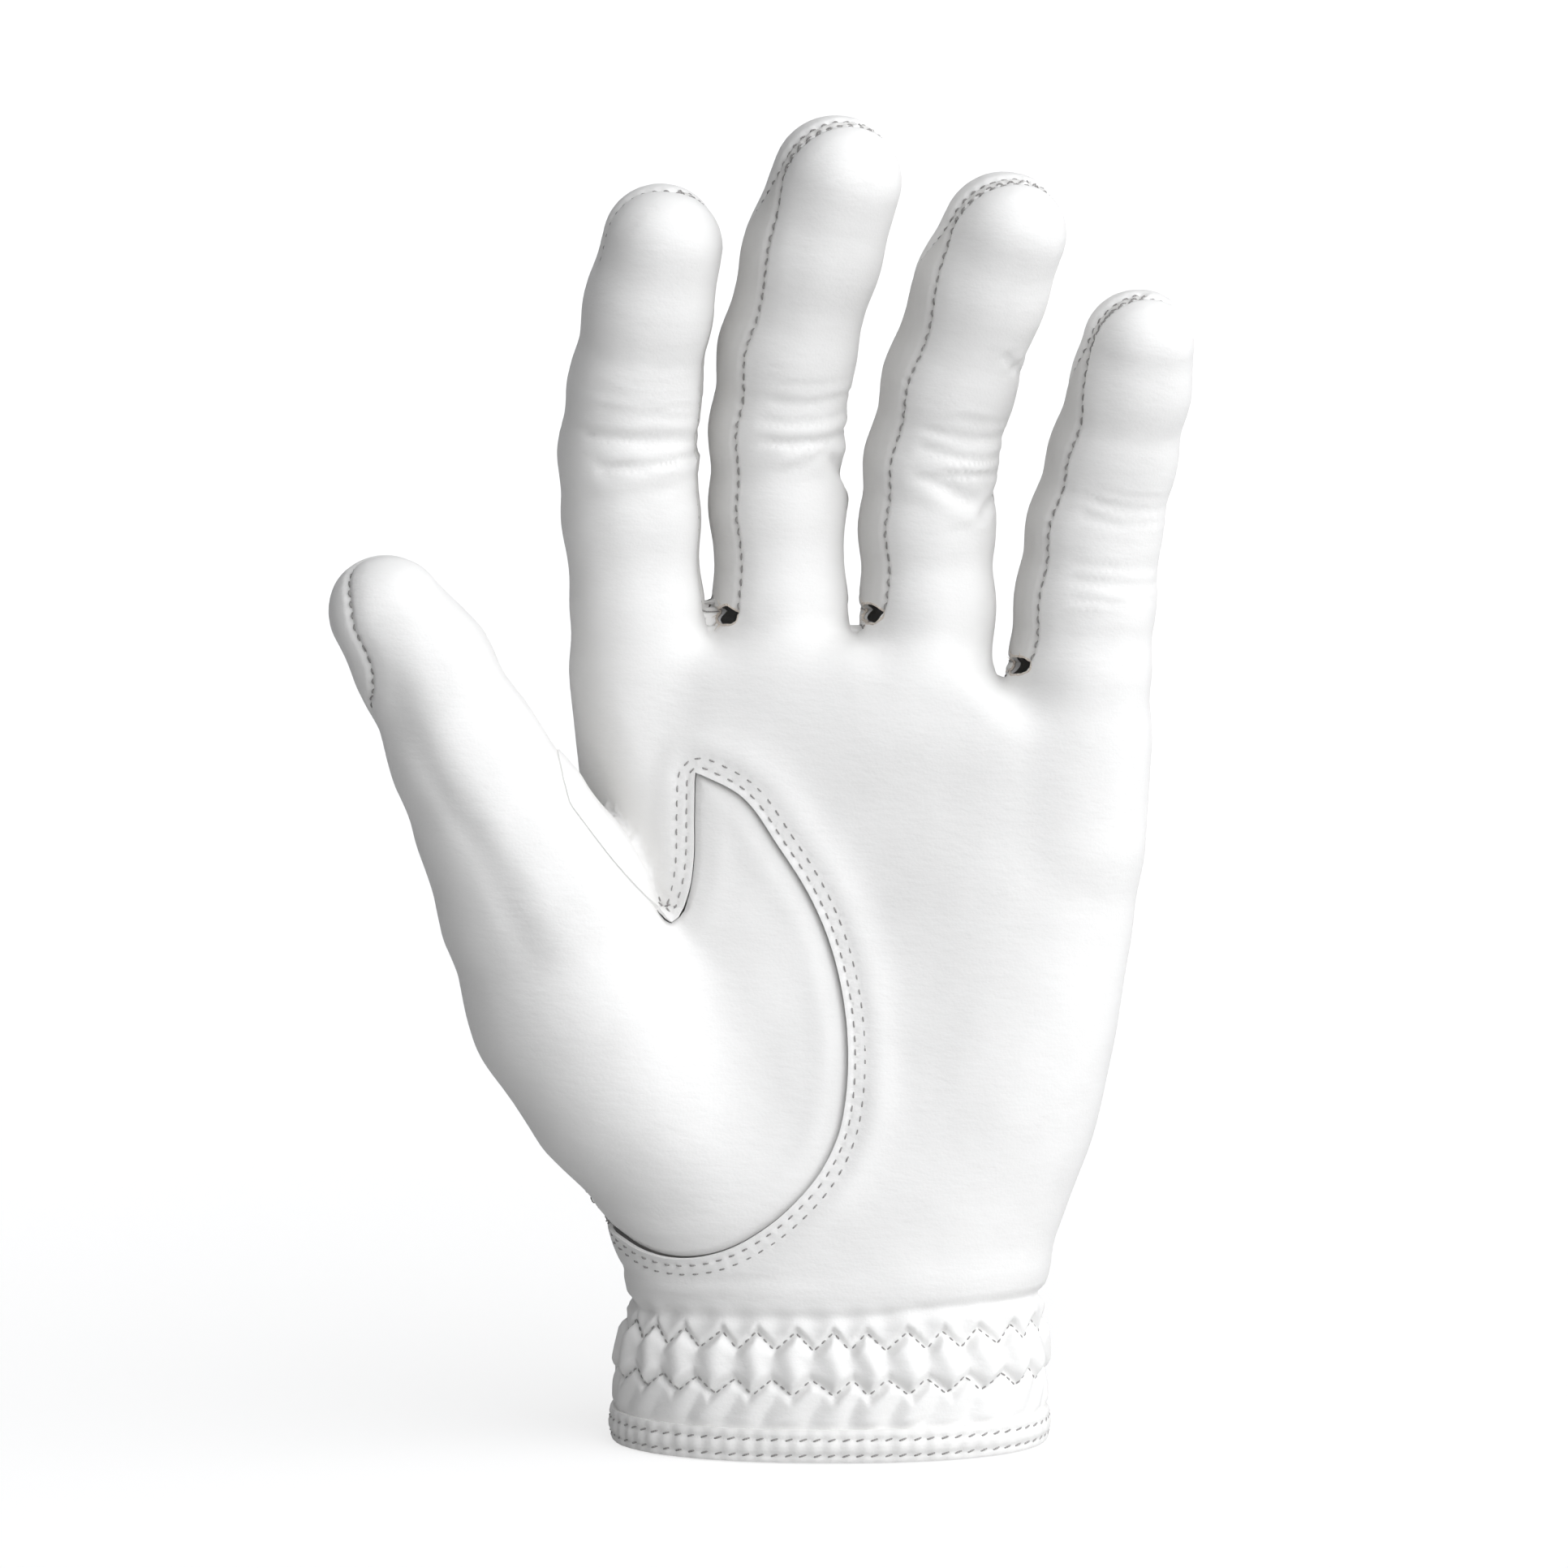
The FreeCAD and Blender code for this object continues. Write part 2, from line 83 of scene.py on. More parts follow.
def spline(xs, ys, x):
    """A smooth curve through the points (xs, ys)."""
    xs, ys = np.array(xs, float), np.array(ys, float)
    slope = np.gradient(ys, xs)
    i = np.clip(np.searchsorted(xs, x) - 1, 0, len(xs) - 2)
    h = xs[i + 1] - xs[i]
    t = np.clip((x - xs[i]) / h, 0, 1)
    return ((2 * t**3 - 3 * t**2 + 1) * ys[i] + (t**3 - 2 * t**2 + t) * h * slope[i]
            + (3 * t**2 - 2 * t**3) * ys[i + 1] + (t**3 - t**2) * h * slope[i + 1])


def lengths_along(line):
    """How far along a polyline each of its points is."""
    return np.r_[0, np.cumsum(np.linalg.norm(np.diff(line, axis=0), axis=1))]


def points_at(line, s, places):
    """Points of a polyline at the given places along it; s are the places of its own points."""
    return np.stack([np.interp(places, s, line[:, k]) for k in range(line.shape[1])], 1)


def round_line(points, step=1.0):
    """A polyline with steps of about the given length, through the points on a smooth curve."""
    pts = np.array(points, float)
    along = lengths_along(pts)
    s = np.linspace(0, along[-1], max(2, int(along[-1] / step) + 1))
    return np.stack([spline(along, pts[:, k], s) for k in range(pts.shape[1])], axis=1)


def smin(a, b, k):
    h = np.clip(0.5 + 0.5 * (b - a) / k, 0, 1)
    return b + (a - b) * h - k * h * (1 - h)


def smax(a, b, k):
    return -smin(-a, -b, k)


def unit(v):
    v = np.array(v, float)
    return v / np.linalg.norm(v)


class Noise:
    """Smooth value noise in any number of dimensions, the same on every run."""

    def __init__(self, seed, size=32):
        self.table = np.random.default_rng(seed).uniform(-1, 1, size**3)
        self.size = size

    def __call__(self, p):
        p = np.asarray(p, float)
        cell = np.floor(p).astype(int)
        f = p - cell
        f = f * f * (3 - 2 * f)
        total = np.zeros(len(p))
        for corner in range(8):
            bits = np.array([(corner >> k) & 1 for k in range(3)])
            w = np.prod(np.where(bits, f, 1 - f), axis=1)
            c = (cell + bits) % self.size
            total += w * self.table[(c[:, 0] * self.size + c[:, 1]) * self.size + c[:, 2]]
        return total


noise = Noise(11)


# ------------------------------------------------------------------ the form of the hand

# Each digit: points along its centre line with the radius there, and the twist of its palm side
# towards +X, in degrees.
DIGITS = {
    "index": ([(-30.4, -0.2, 112, 10.8), (-31.3, -0.6, 138, 10.6), (-32.3, -2.0, 154, 10.8),
               (-32.7, -3.0, 164, 10.9), (-31.5, -5.2, 175, 10.4), (-29.2, -8.8, 188, 10.1),
               (-26.8, -12.2, 198.6, 9.6)], 18),
    "middle": ([(-7.6, 0.2, 114, 10.8), (-7.8, 1.2, 139, 10.6), (-8.2, 0.9, 156, 10.7),
                (-8.3, -1.1, 168, 10.6), (-6.6, -4.4, 181, 10.8), (-2.6, -10.0, 197, 10.7),
                (1.5, -14.3, 208.9, 10.3)], 26),
    "ring": ([(16.8, 0, 112, 10.6), (16.7, 0.5, 139, 10.6), (16.4, 0.3, 152, 10.5), (17.0, -1.2, 163, 10.3),
              (20.0, -4.4, 176, 10.4), (24.8, -9.6, 191, 10.3), (28.6, -13.4, 200.3, 9.8)], 25),
    "little": ([(40.4, 0, 100, 10.8), (41.6, 0, 128, 11.2), (42.6, -0.5, 140, 10.9), (44.0, -1.7, 152, 10.4),
                (46.9, -4.4, 164, 10.0), (49.5, -8.3, 175, 9.4), (50.7, -10.9, 182.2, 8.9)], 19),
    "thumb": ([(-41.5, -8, 84, 13.0), (-47.9, -10.8, 94, 16.2), (-53.1, -12.8, 104, 14.0),
               (-59.0, -14.8, 115.5, 12.2),
               (-65.4, -17.4, 130, 10.5), (-71.6, -20, 139.3, 9.3)], 12),
}
FINGERS = ["index", "middle", "ring", "little"]

# The hand: height, left side, right side, half depth, and how far its middle is behind the plane.
HAND = [(-8, -35.3, 36.3, 22.6, 0.0), (0, -35.3, 36.3, 22.8, 0.0), (12, -35.2, 36.4, 22.4, 0.0),
        (22, -33.2, 35.9, 20.8, 0.2), (30, -33.6, 36.8, 20.6, 0.3), (40, -36.0, 40.2, 20.2, 0.5),
        (50, -38.0, 44.0, 19.4, 0.6), (60, -39.4, 46.4, 18.6, 0.6), (80, -41.0, 50.0, 16.8, 0.6),
        (100, -41.4, 52.2, 15.2, 0.4), (120, -41.4, 53.4, 13.8, 0.2), (140, -41.4, 53.2, 11.6, 0.0)]
MOUND = [(-21, -4, 45, 14.5), (-33, -6, 60, 16.0), (-41.0, -7, 74, 17.0), (-45.0, -8.5, 86, 17.2)]


class Chain:
    """A digit's centre line: where a point is along it, beside it and in front of it."""

    def __init__(self, points, twist):
        pts = np.array(points, float)
        self.points, self.radii = pts[:, :3], pts[:, 3]
        self.start = lengths_along(self.points)
        twist = math.radians(twist)
        self.front = np.array([math.sin(twist), -math.cos(twist), 0])
        self.length = self.start[-1]

    def local(self, p):
        """s along, a to the side (+X), b to the palm side, e past the ends, r the radius there."""
        best = None
        for i in range(len(self.points) - 1):
            a, b = self.points[i], self.points[i + 1]
            d = b - a
            length = np.linalg.norm(d)
            d = d / length
            t = (p - a) @ d
            inside = np.clip(t, 0, length)
            q = p - a - inside[:, None] * d
            r = self.radii[i] + (self.radii[i + 1] - self.radii[i]) * inside / length
            dist = np.linalg.norm(q, axis=1) - r
            front = unit(self.front - d * (self.front @ d))
            side = np.cross(front, d) * -1
            rows = np.stack([self.start[i] + inside, q @ side, q @ front, t - inside, r, dist])
            if best is None:
                best = rows
            else:
                nearer = dist < best[5]
                best = np.where(nearer, rows, best)
        return best

    def distance(self, p, blend=2.5, square=2.25):
        total = None
        for i in range(len(self.points) - 1):
            a, b = self.points[i], self.points[i + 1]
            d = b - a
            length = np.linalg.norm(d)
            d = d / length
            t = np.clip((p - a) @ d, 0, length)
            q = p - a - t[:, None] * d
            r = self.radii[i] + (self.radii[i + 1] - self.radii[i]) * t / length
            front = unit(self.front - d * (self.front @ d))
            side = np.cross(front, d) * -1
            u, v, w = np.abs(q @ side), np.abs(q @ front) * 1.03, q @ d
            flat = (u**square + v**square + 1e-9) ** (1 / square)
            dist = np.sqrt(flat**2 + w**2) - r
            total = dist if total is None else smin(total, dist, blend)
        return total


chains = {name: Chain(*value) for name, value in DIGITS.items()}
mound_chain = Chain(MOUND, 10)


def hand_distance(p):
    x, y, z = p.T
    zs, left, right, depth, back = np.array(HAND, float).T
    lo, hi, ry, cy = (spline(zs, v, z) for v in (left, right, depth, back))
    cx, rx = (lo + hi) / 2, (hi - lo) / 2
    # the palm is hollow in the middle, and full below the fingers and at the heel of the little finger
    relief = (-2.6 * bump(x - 6, 17) * bump(z - 82, 24) + 1.0 * bump(x - 36, 13) * bump(z - 62, 26)
              + 0.9 * bump(x - 14, 26) * bump(z - 118, 8))
    front = smoothstep(2, -6, y)
    yy = y - cy + relief * front
    u, v = np.abs(x - cx) / rx, np.abs(yy) / ry
    e = 2.25
    lat = (u**e + v**e + 1e-9) ** (1 / e)
    grad = np.sqrt((u ** (e - 1) / rx) ** 2 + (v ** (e - 1) / ry) ** 2) * lat ** (1 - e) + 1e-9
    side = (lat - 1) / grad
    top = z - spline([-60, -17, 7, 22, 31, 45, 70], [133.5, 133.5, 133.5, 130.5, 124.5, 123.0, 121.0], x)
    return smax(side, top, 7.0)


WEB_POINT, WEB_NORMAL = np.array([-26.0, -13.2, 100.0]), unit((-0.79, -0.53, -0.26))


def glove_distance(p):
    fingers = None
    for name in FINGERS:
        one = chains[name].distance(p)
        fingers = one if fingers is None else np.minimum(fingers, one)
    d = smin(hand_distance(p), fingers, 4.2)
    # below the index finger the palm falls back towards the thumb
    d = smax(d, (p - WEB_POINT) @ WEB_NORMAL - 1.5 - 2.0 * np.maximum(90.0 - p[:, 2], 0), 3.0)
    soft = 2.0 + 7.0 * smoothstep(92, 78, p[:, 2])
    thumb = smin(mound_chain.distance(p, 6.0, 2.0), chains["thumb"].distance(p, 3.0, 2.1), 4.0)
    return smin(d, thumb, soft)


def gradient(f, p, h=0.05):
    g = np.empty_like(p)
    for k in range(3):
        step = np.zeros(3)
        step[k] = h
        g[:, k] = (f(p + step) - f(p - step)) / (2 * h)
    return g


def project(p, rounds=3):
    for _ in range(rounds):
        d = glove_distance(p)
        g = gradient(glove_distance, p)
        p = p - (d / np.maximum((g**2).sum(1), 1e-6))[:, None] * g
    return p


# ------------------------------------------------------------------ seams and panels as fields

def digit_coords(name, p):
    s, a, b, e, r, dist = chains[name].local(p)
    return {"s": s, "a": a, "b": b, "e": e, "r": r, "d": dist, "left": chains[name].length - s}


def finger_weights(coords):
    """How much each finger counts at a point, from how near its surface is."""
    w = np.stack([1 / (np.maximum(c["d"], 0) + 0.6) ** 3 for c in coords])
    return w / w.sum(0)


def front_share(p):
    """Place of a point between the back (-1) and the palm side (1) of its finger or of the hand."""
    coords = [digit_coords(n, p) for n in FINGERS]
    w = finger_weights(coords)
    share = sum(wi * c["b"] / c["r"] for wi, c in zip(w, coords))
    into_hand = smoothstep(132, 112, p[:, 2])
    hand_share = -(p[:, 1]) / 14.0
    return share * (1 - into_hand) + hand_share * into_hand


def polygon_distance(points, p):
    """Signed distance in a plane from a closed outline, negative inside."""
    a = np.array(points, float)
    b = np.roll(a, -1, axis=0)
    best = np.full(len(p), 1e9)
    inside = np.zeros(len(p), bool)
    for (x0, z0), (x1, z1) in zip(a, b):
        dx, dz = x1 - x0, z1 - z0
        t = np.clip(((p[:, 0] - x0) * dx + (p[:, 1] - z0) * dz) / (dx * dx + dz * dz + 1e-12), 0, 1)
        best = np.minimum(best, np.hypot(p[:, 0] - x0 - t * dx, p[:, 1] - z0 - t * dz))
        crosses = (z0 > p[:, 1]) != (z1 > p[:, 1])
        if dz:
            inside ^= crosses & (p[:, 0] < dx * (p[:, 1] - z0) / dz + x0)
    return np.where(inside, -best, best)


# The thumb panel's edge on the palm: along the web, round the notch, up the horn, and round the mound.
WEB_EDGE = [(-41.8, 108.0), (-36.3, 100.6), (-30.2, 93.0), (-26.4, 88.2)]
NOTCH = [(-26.4, 88.2), (-25.2, 87.6), (-23.9, 89.4), (-22.6, 93.0), (-21.9, 98.0), (-21.8, 105.0),
         (-21.7, 112.6)]
MOUND_EDGE = [(-21.7, 112.6), (-14, 108.6), (-8, 100.4), (-2.8, 92), (0.2, 85), (2.2, 77.5), (3.3, 69),
              (3.2, 61), (1.9, 53.5), (-1.3, 47), (-5.8, 41.8), (-10.8, 37.7), (-17, 34.3), (-24, 32.8),
              (-30, 33.4), (-36.5, 36.5)]
ROUND_THE_THUMB = [(-95, 37), (-95, 156), (-56, 156), (-46.2, 124), (-43.0, 112)]
outline = np.vstack([round_line(WEB_EDGE), round_line(NOTCH)[1:], round_line(MOUND_EDGE)[1:],
                     ROUND_THE_THUMB])
BACK_EDGE = [(-41.8, 108.0), (-39.5, 98), (-38.4, 84), (-38.2, 70), (-38.6, 56), (-38.4, 46), (-36.5, 36.5)]
back_outline = np.vstack([round_line(BACK_EDGE), ROUND_THE_THUMB])


def thumb_field(p):
    behind = smoothstep(-3.0, 3.0, p[:, 1])
    xz = p[:, [0, 2]]
    return polygon_distance(outline, xz) * (1 - behind) + polygon_distance(back_outline, xz) * behind


def thumb_back_field(p):
    """Negative on the back of the thumb."""
    c = digit_coords("thumb", p)
    low = mound_chain.local(p)
    w = smoothstep(90, 100, p[:, 2])
    share = (c["b"] / c["r"] + 0.18) * w + (low[2] / low[4] + 0.1) * (1 - w)
    over_tip = smoothstep(3, -4, c["left"])
    # on the outer side of the tip the seam swings round to the front
    outer = bump(c["left"] - 3.0, 10.0) * smoothstep(1.0, -6.0, c["a"])
    return (share - 0.25 * over_tip - 0.8 * outer) * 11


def gusset_field(left, right):
    def field(p):
        ci, cj = digit_coords(left, p), digit_coords(right, p)
        w = finger_weights([ci, cj])
        beta = w[0] * ci["b"] / ci["r"] + w[1] * cj["b"] / cj["r"]
        to_tip = w[0] * ci["left"] + w[1] * cj["left"]
        half = 0.50 * smoothstep(-3.0, 16.0, to_tip) ** 0.75
        narrow = (np.abs(beta + 0.04) - half) * 10.5
        between = np.maximum(-ci["a"], cj["a"])
        low = CROTCHES[left, right][1] + 0.4 - p[:, 2]
        return np.maximum(np.maximum(narrow, between), low)
    return field


def back_field(p):
    """Negative on the back panel. Over the fingertips the seam comes a little to the front."""
    share = front_share(p)
    near_tip = np.zeros(len(p))
    for name in FINGERS:
        c = digit_coords(name, p)
        to_front = smoothstep(6, -4, c["left"]) * (c["d"] < 3)
        if name == "index":
            to_front *= smoothstep(-7, 0, c["a"])
        near_tip = np.maximum(near_tip, to_front)
    # under the web of the thumb the side seam runs further back
    web = smoothstep(-32, -39, p[:, 0]) * bump(p[:, 2] - 104, 12)
    return (share + 0.12 + 0.5 * web - 0.30 * near_tip) * 11


CROTCHES = {("index", "middle"): (-16.9, 137.7), ("middle", "ring"): (6.9, 138.0),
            ("ring", "little"): (31.1, 129.5)}


def crotch_field(x, z):
    """A small open slot at the foot of a gusset, on the palm side only."""
    def field(p):
        shape = np.hypot((p[:, 0] - x) / 2.0, (p[:, 2] - z) / 1.65) - 1
        wobble = 0.22 * noise(np.stack([p[:, 0] * 0.9, p[:, 1] * 0.5, p[:, 2] * 0.9 + 5], 1))
        return np.maximum(shape * 1.7 + wobble, p[:, 1] + 2.0)
    return field


SLIT_X, SLIT_TOP, SLIT_HALF = 2.0, 52.5, 3.4


def slit_half(z):
    """Half the width of the slit, which narrows upwards."""
    return SLIT_HALF * np.clip((SLIT_TOP + 26 - z) / 40, 0.35, 1)


def slit_field(p):
    over = np.maximum(p[:, 2] - SLIT_TOP, 0)
    return np.maximum(np.hypot(p[:, 0] - SLIT_X, over) - slit_half(p[:, 2]), -p[:, 1])


HEM_TOP = 5.4
KNUCKLE_UP = unit((0.165, 0.0, 0.986))
FINGER_RINGS = {"index": 148.0, "middle": 148.0, "ring": 147.0, "little": 135.4}


def joint(name):
    found = next(j for j in frame["joints"] if j["name"] == name)
    return np.array(found["pos_m"]) / MM, unit(found["axis"])


def thumb_along():
    c = chains["thumb"]
    return unit(c.points[-1] - c.points[2])


THUMB_PIVOT, _ = joint("thumb_flex")


def thumb_ring_field(p):
    """Negative beyond the foot of the thumb, which is where it starts to bend."""
    return -((p - THUMB_PIVOT) @ thumb_along() + 11.4)


# ------------------------------------------------------------------ meshing and cutting

def surface_nets(field, low, high, step):
    """Vertices and triangles of the zero surface, one vertex in each cell that it crosses."""
    axes = [np.arange(low[k], high[k] + step, step) for k in range(3)]
    shape = tuple(len(a) for a in axes)
    gx, gy, gz = np.meshgrid(*axes, indexing="ij")
    values = np.empty(shape)
    for i in range(shape[0]):
        pts = np.stack([gx[i].ravel(), gy[i].ravel(), gz[i].ravel()], 1)
        values[i] = field(pts).reshape(shape[1:])
    inside = values < 0
    corners = [(i, j, k) for i in (0, 1) for j in (0, 1) for k in (0, 1)]
    cell_shape = tuple(n - 1 for n in shape)

    def corner(array, c):
        return array[c[0]:c[0] + cell_shape[0], c[1]:c[1] + cell_shape[1], c[2]:c[2] + cell_shape[2]]

    count = sum(corner(inside, c).astype(int) for c in corners)
    active = (count > 0) & (count < 8)
    index = np.full(cell_shape, -1)
    index[active] = np.arange(active.sum())
    where = np.argwhere(active)
    total, hits = np.zeros((len(where), 3)), np.zeros(len(where))
    for n, c in enumerate(corners):
        for axis in range(3):
            if c[axis]:
                continue
            d = list(c)
            d[axis] = 1
            va, vb = corner(values, c)[active], corner(values, tuple(d))[active]
            cross = (va < 0) != (vb < 0)
            t = np.where(cross, va / np.where(cross, va - vb, 1), 0)
            point = np.array(c, float) + np.zeros((len(where), 3))
            point[:, axis] += t
            total[cross] += point[cross]
            hits[cross] += 1
    verts = (where + total / hits[:, None]) * step + np.array([a[0] for a in axes])
    quads = []
    for axis in range(3):
        u, v = [k for k in range(3) if k != axis]
        a = [slice(1, -1)] * 3
        a[axis] = slice(0, -1)
        b = list(a)
        b[axis] = slice(1, None)
        start = inside[tuple(a)]
        change = start != inside[tuple(b)]
        cells = np.argwhere(change)
        offset = np.array([0 if k == axis else 1 for k in range(3)])
        cells = cells + offset
        flip = start[change]
        ring = []
        for du, dv in ((0, 0), (-1, 0), (-1, -1), (0, -1)):
            c = cells.copy()
            c[:, u] += du
            c[:, v] += dv
            ring.append(index[c[:, 0], c[:, 1], c[:, 2]])
        ring = np.stack(ring, 1)
        turn = flip if axis != 1 else ~flip
        ring[~turn] = ring[~turn][:, ::-1]
        quads.append(ring)
    quads = np.vstack(quads)
    quads = quads[(quads >= 0).all(1)]
    tris = np.vstack([quads[:, [0, 1, 2]], quads[:, [0, 2, 3]]])
    return verts, tris


def edges_of(tris):
    return np.sort(np.vstack([tris[:, [0, 1]], tris[:, [1, 2]], tris[:, [2, 0]]]), axis=1)


def relax(verts, tris, rounds):
    """Evens out the triangles: each vertex moves to the middle of its neighbours, along the surface."""
    e = np.unique(edges_of(tris), axis=0)
    for _ in range(rounds):
        total = np.zeros_like(verts)
        count = np.zeros(len(verts))
        np.add.at(total, e[:, 0], verts[e[:, 1]])
        np.add.at(total, e[:, 1], verts[e[:, 0]])
        np.add.at(count, e[:, 0], 1)
        np.add.at(count, e[:, 1], 1)
        moved = verts + 0.5 * (total / np.maximum(count, 1)[:, None] - verts)
        verts = project(moved, 1)
    return project(verts, 2)


def drop_unused(verts, tris):
    used = np.unique(tris)
    renumber = np.full(len(verts), -1)
    renumber[used] = np.arange(len(used))
    return verts[used], renumber[tris]


def cut_by(verts, tris, labels, field, take, give):
    """Cuts the triangles of label take along field = 0 and gives those inside the label give."""
    mine = np.flatnonzero(labels == take)
    if not len(mine):
        return verts, tris, labels
    vid = np.unique(tris[mine])
    f = np.full(len(verts), 1e9)
    f[vid] = field(verts[vid])
    # a vertex close to the line moves onto it, so that no thin triangle is left beside the cut
    e = np.unique(edges_of(tris[mine]), axis=0)
    length = np.linalg.norm(verts[e[:, 0]] - verts[e[:, 1]], axis=1)
    shared = np.unique(tris[labels != take])
    free = np.ones(len(verts), bool)
    free[shared] = False
    crosses = (f[e[:, 0]] < 0) != (f[e[:, 1]] < 0)
    for k in (0, 1):
        near, far = e[:, k], e[:, 1 - k]
        t = np.abs(f[near]) / np.maximum(np.abs(f[near]) + np.abs(f[far]), 1e-12)
        snap = crosses & (t < 0.22) & free[near] & (f[near] != 0)
        n, first = np.unique(near[snap], return_index=True)
        other = far[snap][first]
        verts[n] = verts[n] + (verts[other] - verts[n]) * t[snap][first][:, None]
        f[n] = 0.0
    f[np.abs(f) < 1e-9] = 0.0
    sign = np.sign(f).astype(int)
    ea, eb = e[:, 0], e[:, 1]
    cutting = sign[ea] * sign[eb] < 0
    ca, cb = ea[cutting], eb[cutting]
    t = f[ca] / (f[ca] - f[cb])
    new_points = verts[ca] + (verts[cb] - verts[ca]) * t[:, None]
    first_new = len(verts)
    lookup = {(int(a), int(b)): first_new + i for i, (a, b) in enumerate(zip(ca, cb))}
    verts = np.vstack([verts, new_points])
    sign = np.r_[sign, np.zeros(len(new_points), int)]
    out, out_labels = [], []
    keep = labels != take
    for ti in mine:
        a, b, c = (int(v) for v in tris[ti])
        s = sign[[a, b, c]]
        if (s >= 0).all() or (s <= 0).all():
            inside = s.min() < 0
            if (s == 0).all():
                inside = field(verts[[a, b, c]].mean(0)[None])[0] < 0
            out.append((a, b, c))
            out_labels.append(give if inside else take)
            continue
        # rotate so that the first corner is alone on its side
        tri = [a, b, c]
        if (s == 0).any():
            k = int(np.flatnonzero(s == 0)[0])
            tri = tri[k:] + tri[:k]
            p, q, r = tri
            m = lookup[(min(q, r), max(q, r))]
            for piece in ((p, q, m), (p, m, r)):
                side = sign[piece[1]] if sign[piece[1]] else sign[piece[2]]
                out.append(piece)
                out_labels.append(give if side < 0 else take)
            continue
        k = next(i for i in range(3) if s[i] != s[(i + 1) % 3] and s[i] != s[(i + 2) % 3])
        tri = tri[k:] + tri[:k]
        p, q, r = tri
        m, n = lookup[(min(p, q), max(p, q))], lookup[(min(p, r), max(p, r))]
        alone = sign[p] < 0
        out += [(p, m, n), (m, q, r), (m, r, n)]
        out_labels += [give if alone else take] + [take if alone else give] * 2
    # cut edges that a neighbour of another label also has are divided there too
    others = tris[keep]
    other_labels = labels[keep]
    if len(lookup) and len(others):
        keys = np.array(sorted(lookup), int)
        code = keys[:, 0] * (len(verts) + 1) + keys[:, 1]
        hit = np.zeros(len(others), bool)
        for i, j in ((0, 1), (1, 2), (2, 0)):
            lo = np.minimum(others[:, i], others[:, j])
            hi = np.maximum(others[:, i], others[:, j])
            hit |= np.isin(lo * (len(verts) + 1) + hi, code)
        for ti in np.flatnonzero(hit):
            fan = [[int(v) for v in others[ti]]]
            done = False
            while not done:
                done = True
                for poly in list(fan):
                    for i in range(3):
                        a, b, c = poly[i], poly[(i + 1) % 3], poly[(i + 2) % 3]
                        m = lookup.get((min(a, b), max(a, b)))
                        if m is not None:
                            fan.remove(poly)
                            fan += [[a, m, c], [m, b, c]]
                            done = False
                            break
            out += [tuple(poly) for poly in fan]
            out_labels += [other_labels[ti]] * len(fan)
        others, other_labels = others[~hit], other_labels[~hit]
    tris = np.vstack([others, np.array(out, int).reshape(-1, 3)])
    labels = np.r_[other_labels, np.array(out_labels, int)]
    return verts, tris, labels


def refine(verts, tris, labels, target):
    """Divides every edge that is longer than the target at its middle, and the triangles with it."""
    e, inverse = np.unique(edges_of(tris), axis=0, return_inverse=True)
    inverse = inverse.reshape(-1)
    mid = (verts[e[:, 0]] + verts[e[:, 1]]) / 2
    length = np.linalg.norm(verts[e[:, 0]] - verts[e[:, 1]], axis=1)
    split = length > target(mid)
    new_id = np.full(len(e), -1)
    new_id[split] = len(verts) + np.arange(split.sum())
    verts = np.vstack([verts, mid[split]])
    n = len(tris)
    m = np.stack([new_id[inverse[:n]], new_id[inverse[n:2 * n]], new_id[inverse[2 * n:]]], 1)
    count = (m >= 0).sum(1)
    parts, part_labels = [tris[count == 0]], [labels[count == 0]]

    def rotate(mask, k):
        return np.roll(tris[mask], -k, axis=1), np.roll(m[mask], -k, axis=1), labels[mask]

    for k in range(3):
        only = (count == 1) & (m[:, k] >= 0)
        t, mm, lab = rotate(only, k)
        parts += [np.stack([t[:, 0], mm[:, 0], t[:, 2]], 1), np.stack([mm[:, 0], t[:, 1], t[:, 2]], 1)]
        part_labels += [lab, lab]
        two = (count == 2) & (m[:, k] < 0)
        t, mm, lab = rotate(two, k)
        parts += [np.stack([mm[:, 1], t[:, 2], mm[:, 2]], 1), np.stack([t[:, 0], t[:, 1], mm[:, 1]], 1),
                  np.stack([t[:, 0], mm[:, 1], mm[:, 2]], 1)]
        part_labels += [lab] * 3
    three = count == 3
    t, mm, lab = tris[three], m[three], labels[three]
    parts += [np.stack([t[:, 0], mm[:, 0], mm[:, 2]], 1), np.stack([mm[:, 0], t[:, 1], mm[:, 1]], 1),
              np.stack([mm[:, 2], mm[:, 1], t[:, 2]], 1), mm]
    part_labels += [lab] * 4
    return verts, np.vstack(parts), np.concatenate(part_labels)


# ------------------------------------------------------------------ the panels

PALM, BACK, THUMB_FRONT, THUMB_BACK, HEM, WASTE = 0, 1, 2, 3, 7, 8
GUSSETS = {4: ("index", "middle"), 5: ("middle", "ring"), 6: ("ring", "little")}
BENDING = 10                       # added to a label above its finger's ring, or beyond the thumb's


def ring_field(p):
    """Negative on the part of a finger that is above its ring."""
    d = np.stack([chains[n].distance(p) for n in FINGERS])
    rings = np.array([FINGER_RINGS[n] for n in FINGERS])
    return rings[np.argmin(d, axis=0)] - p[:, 2]


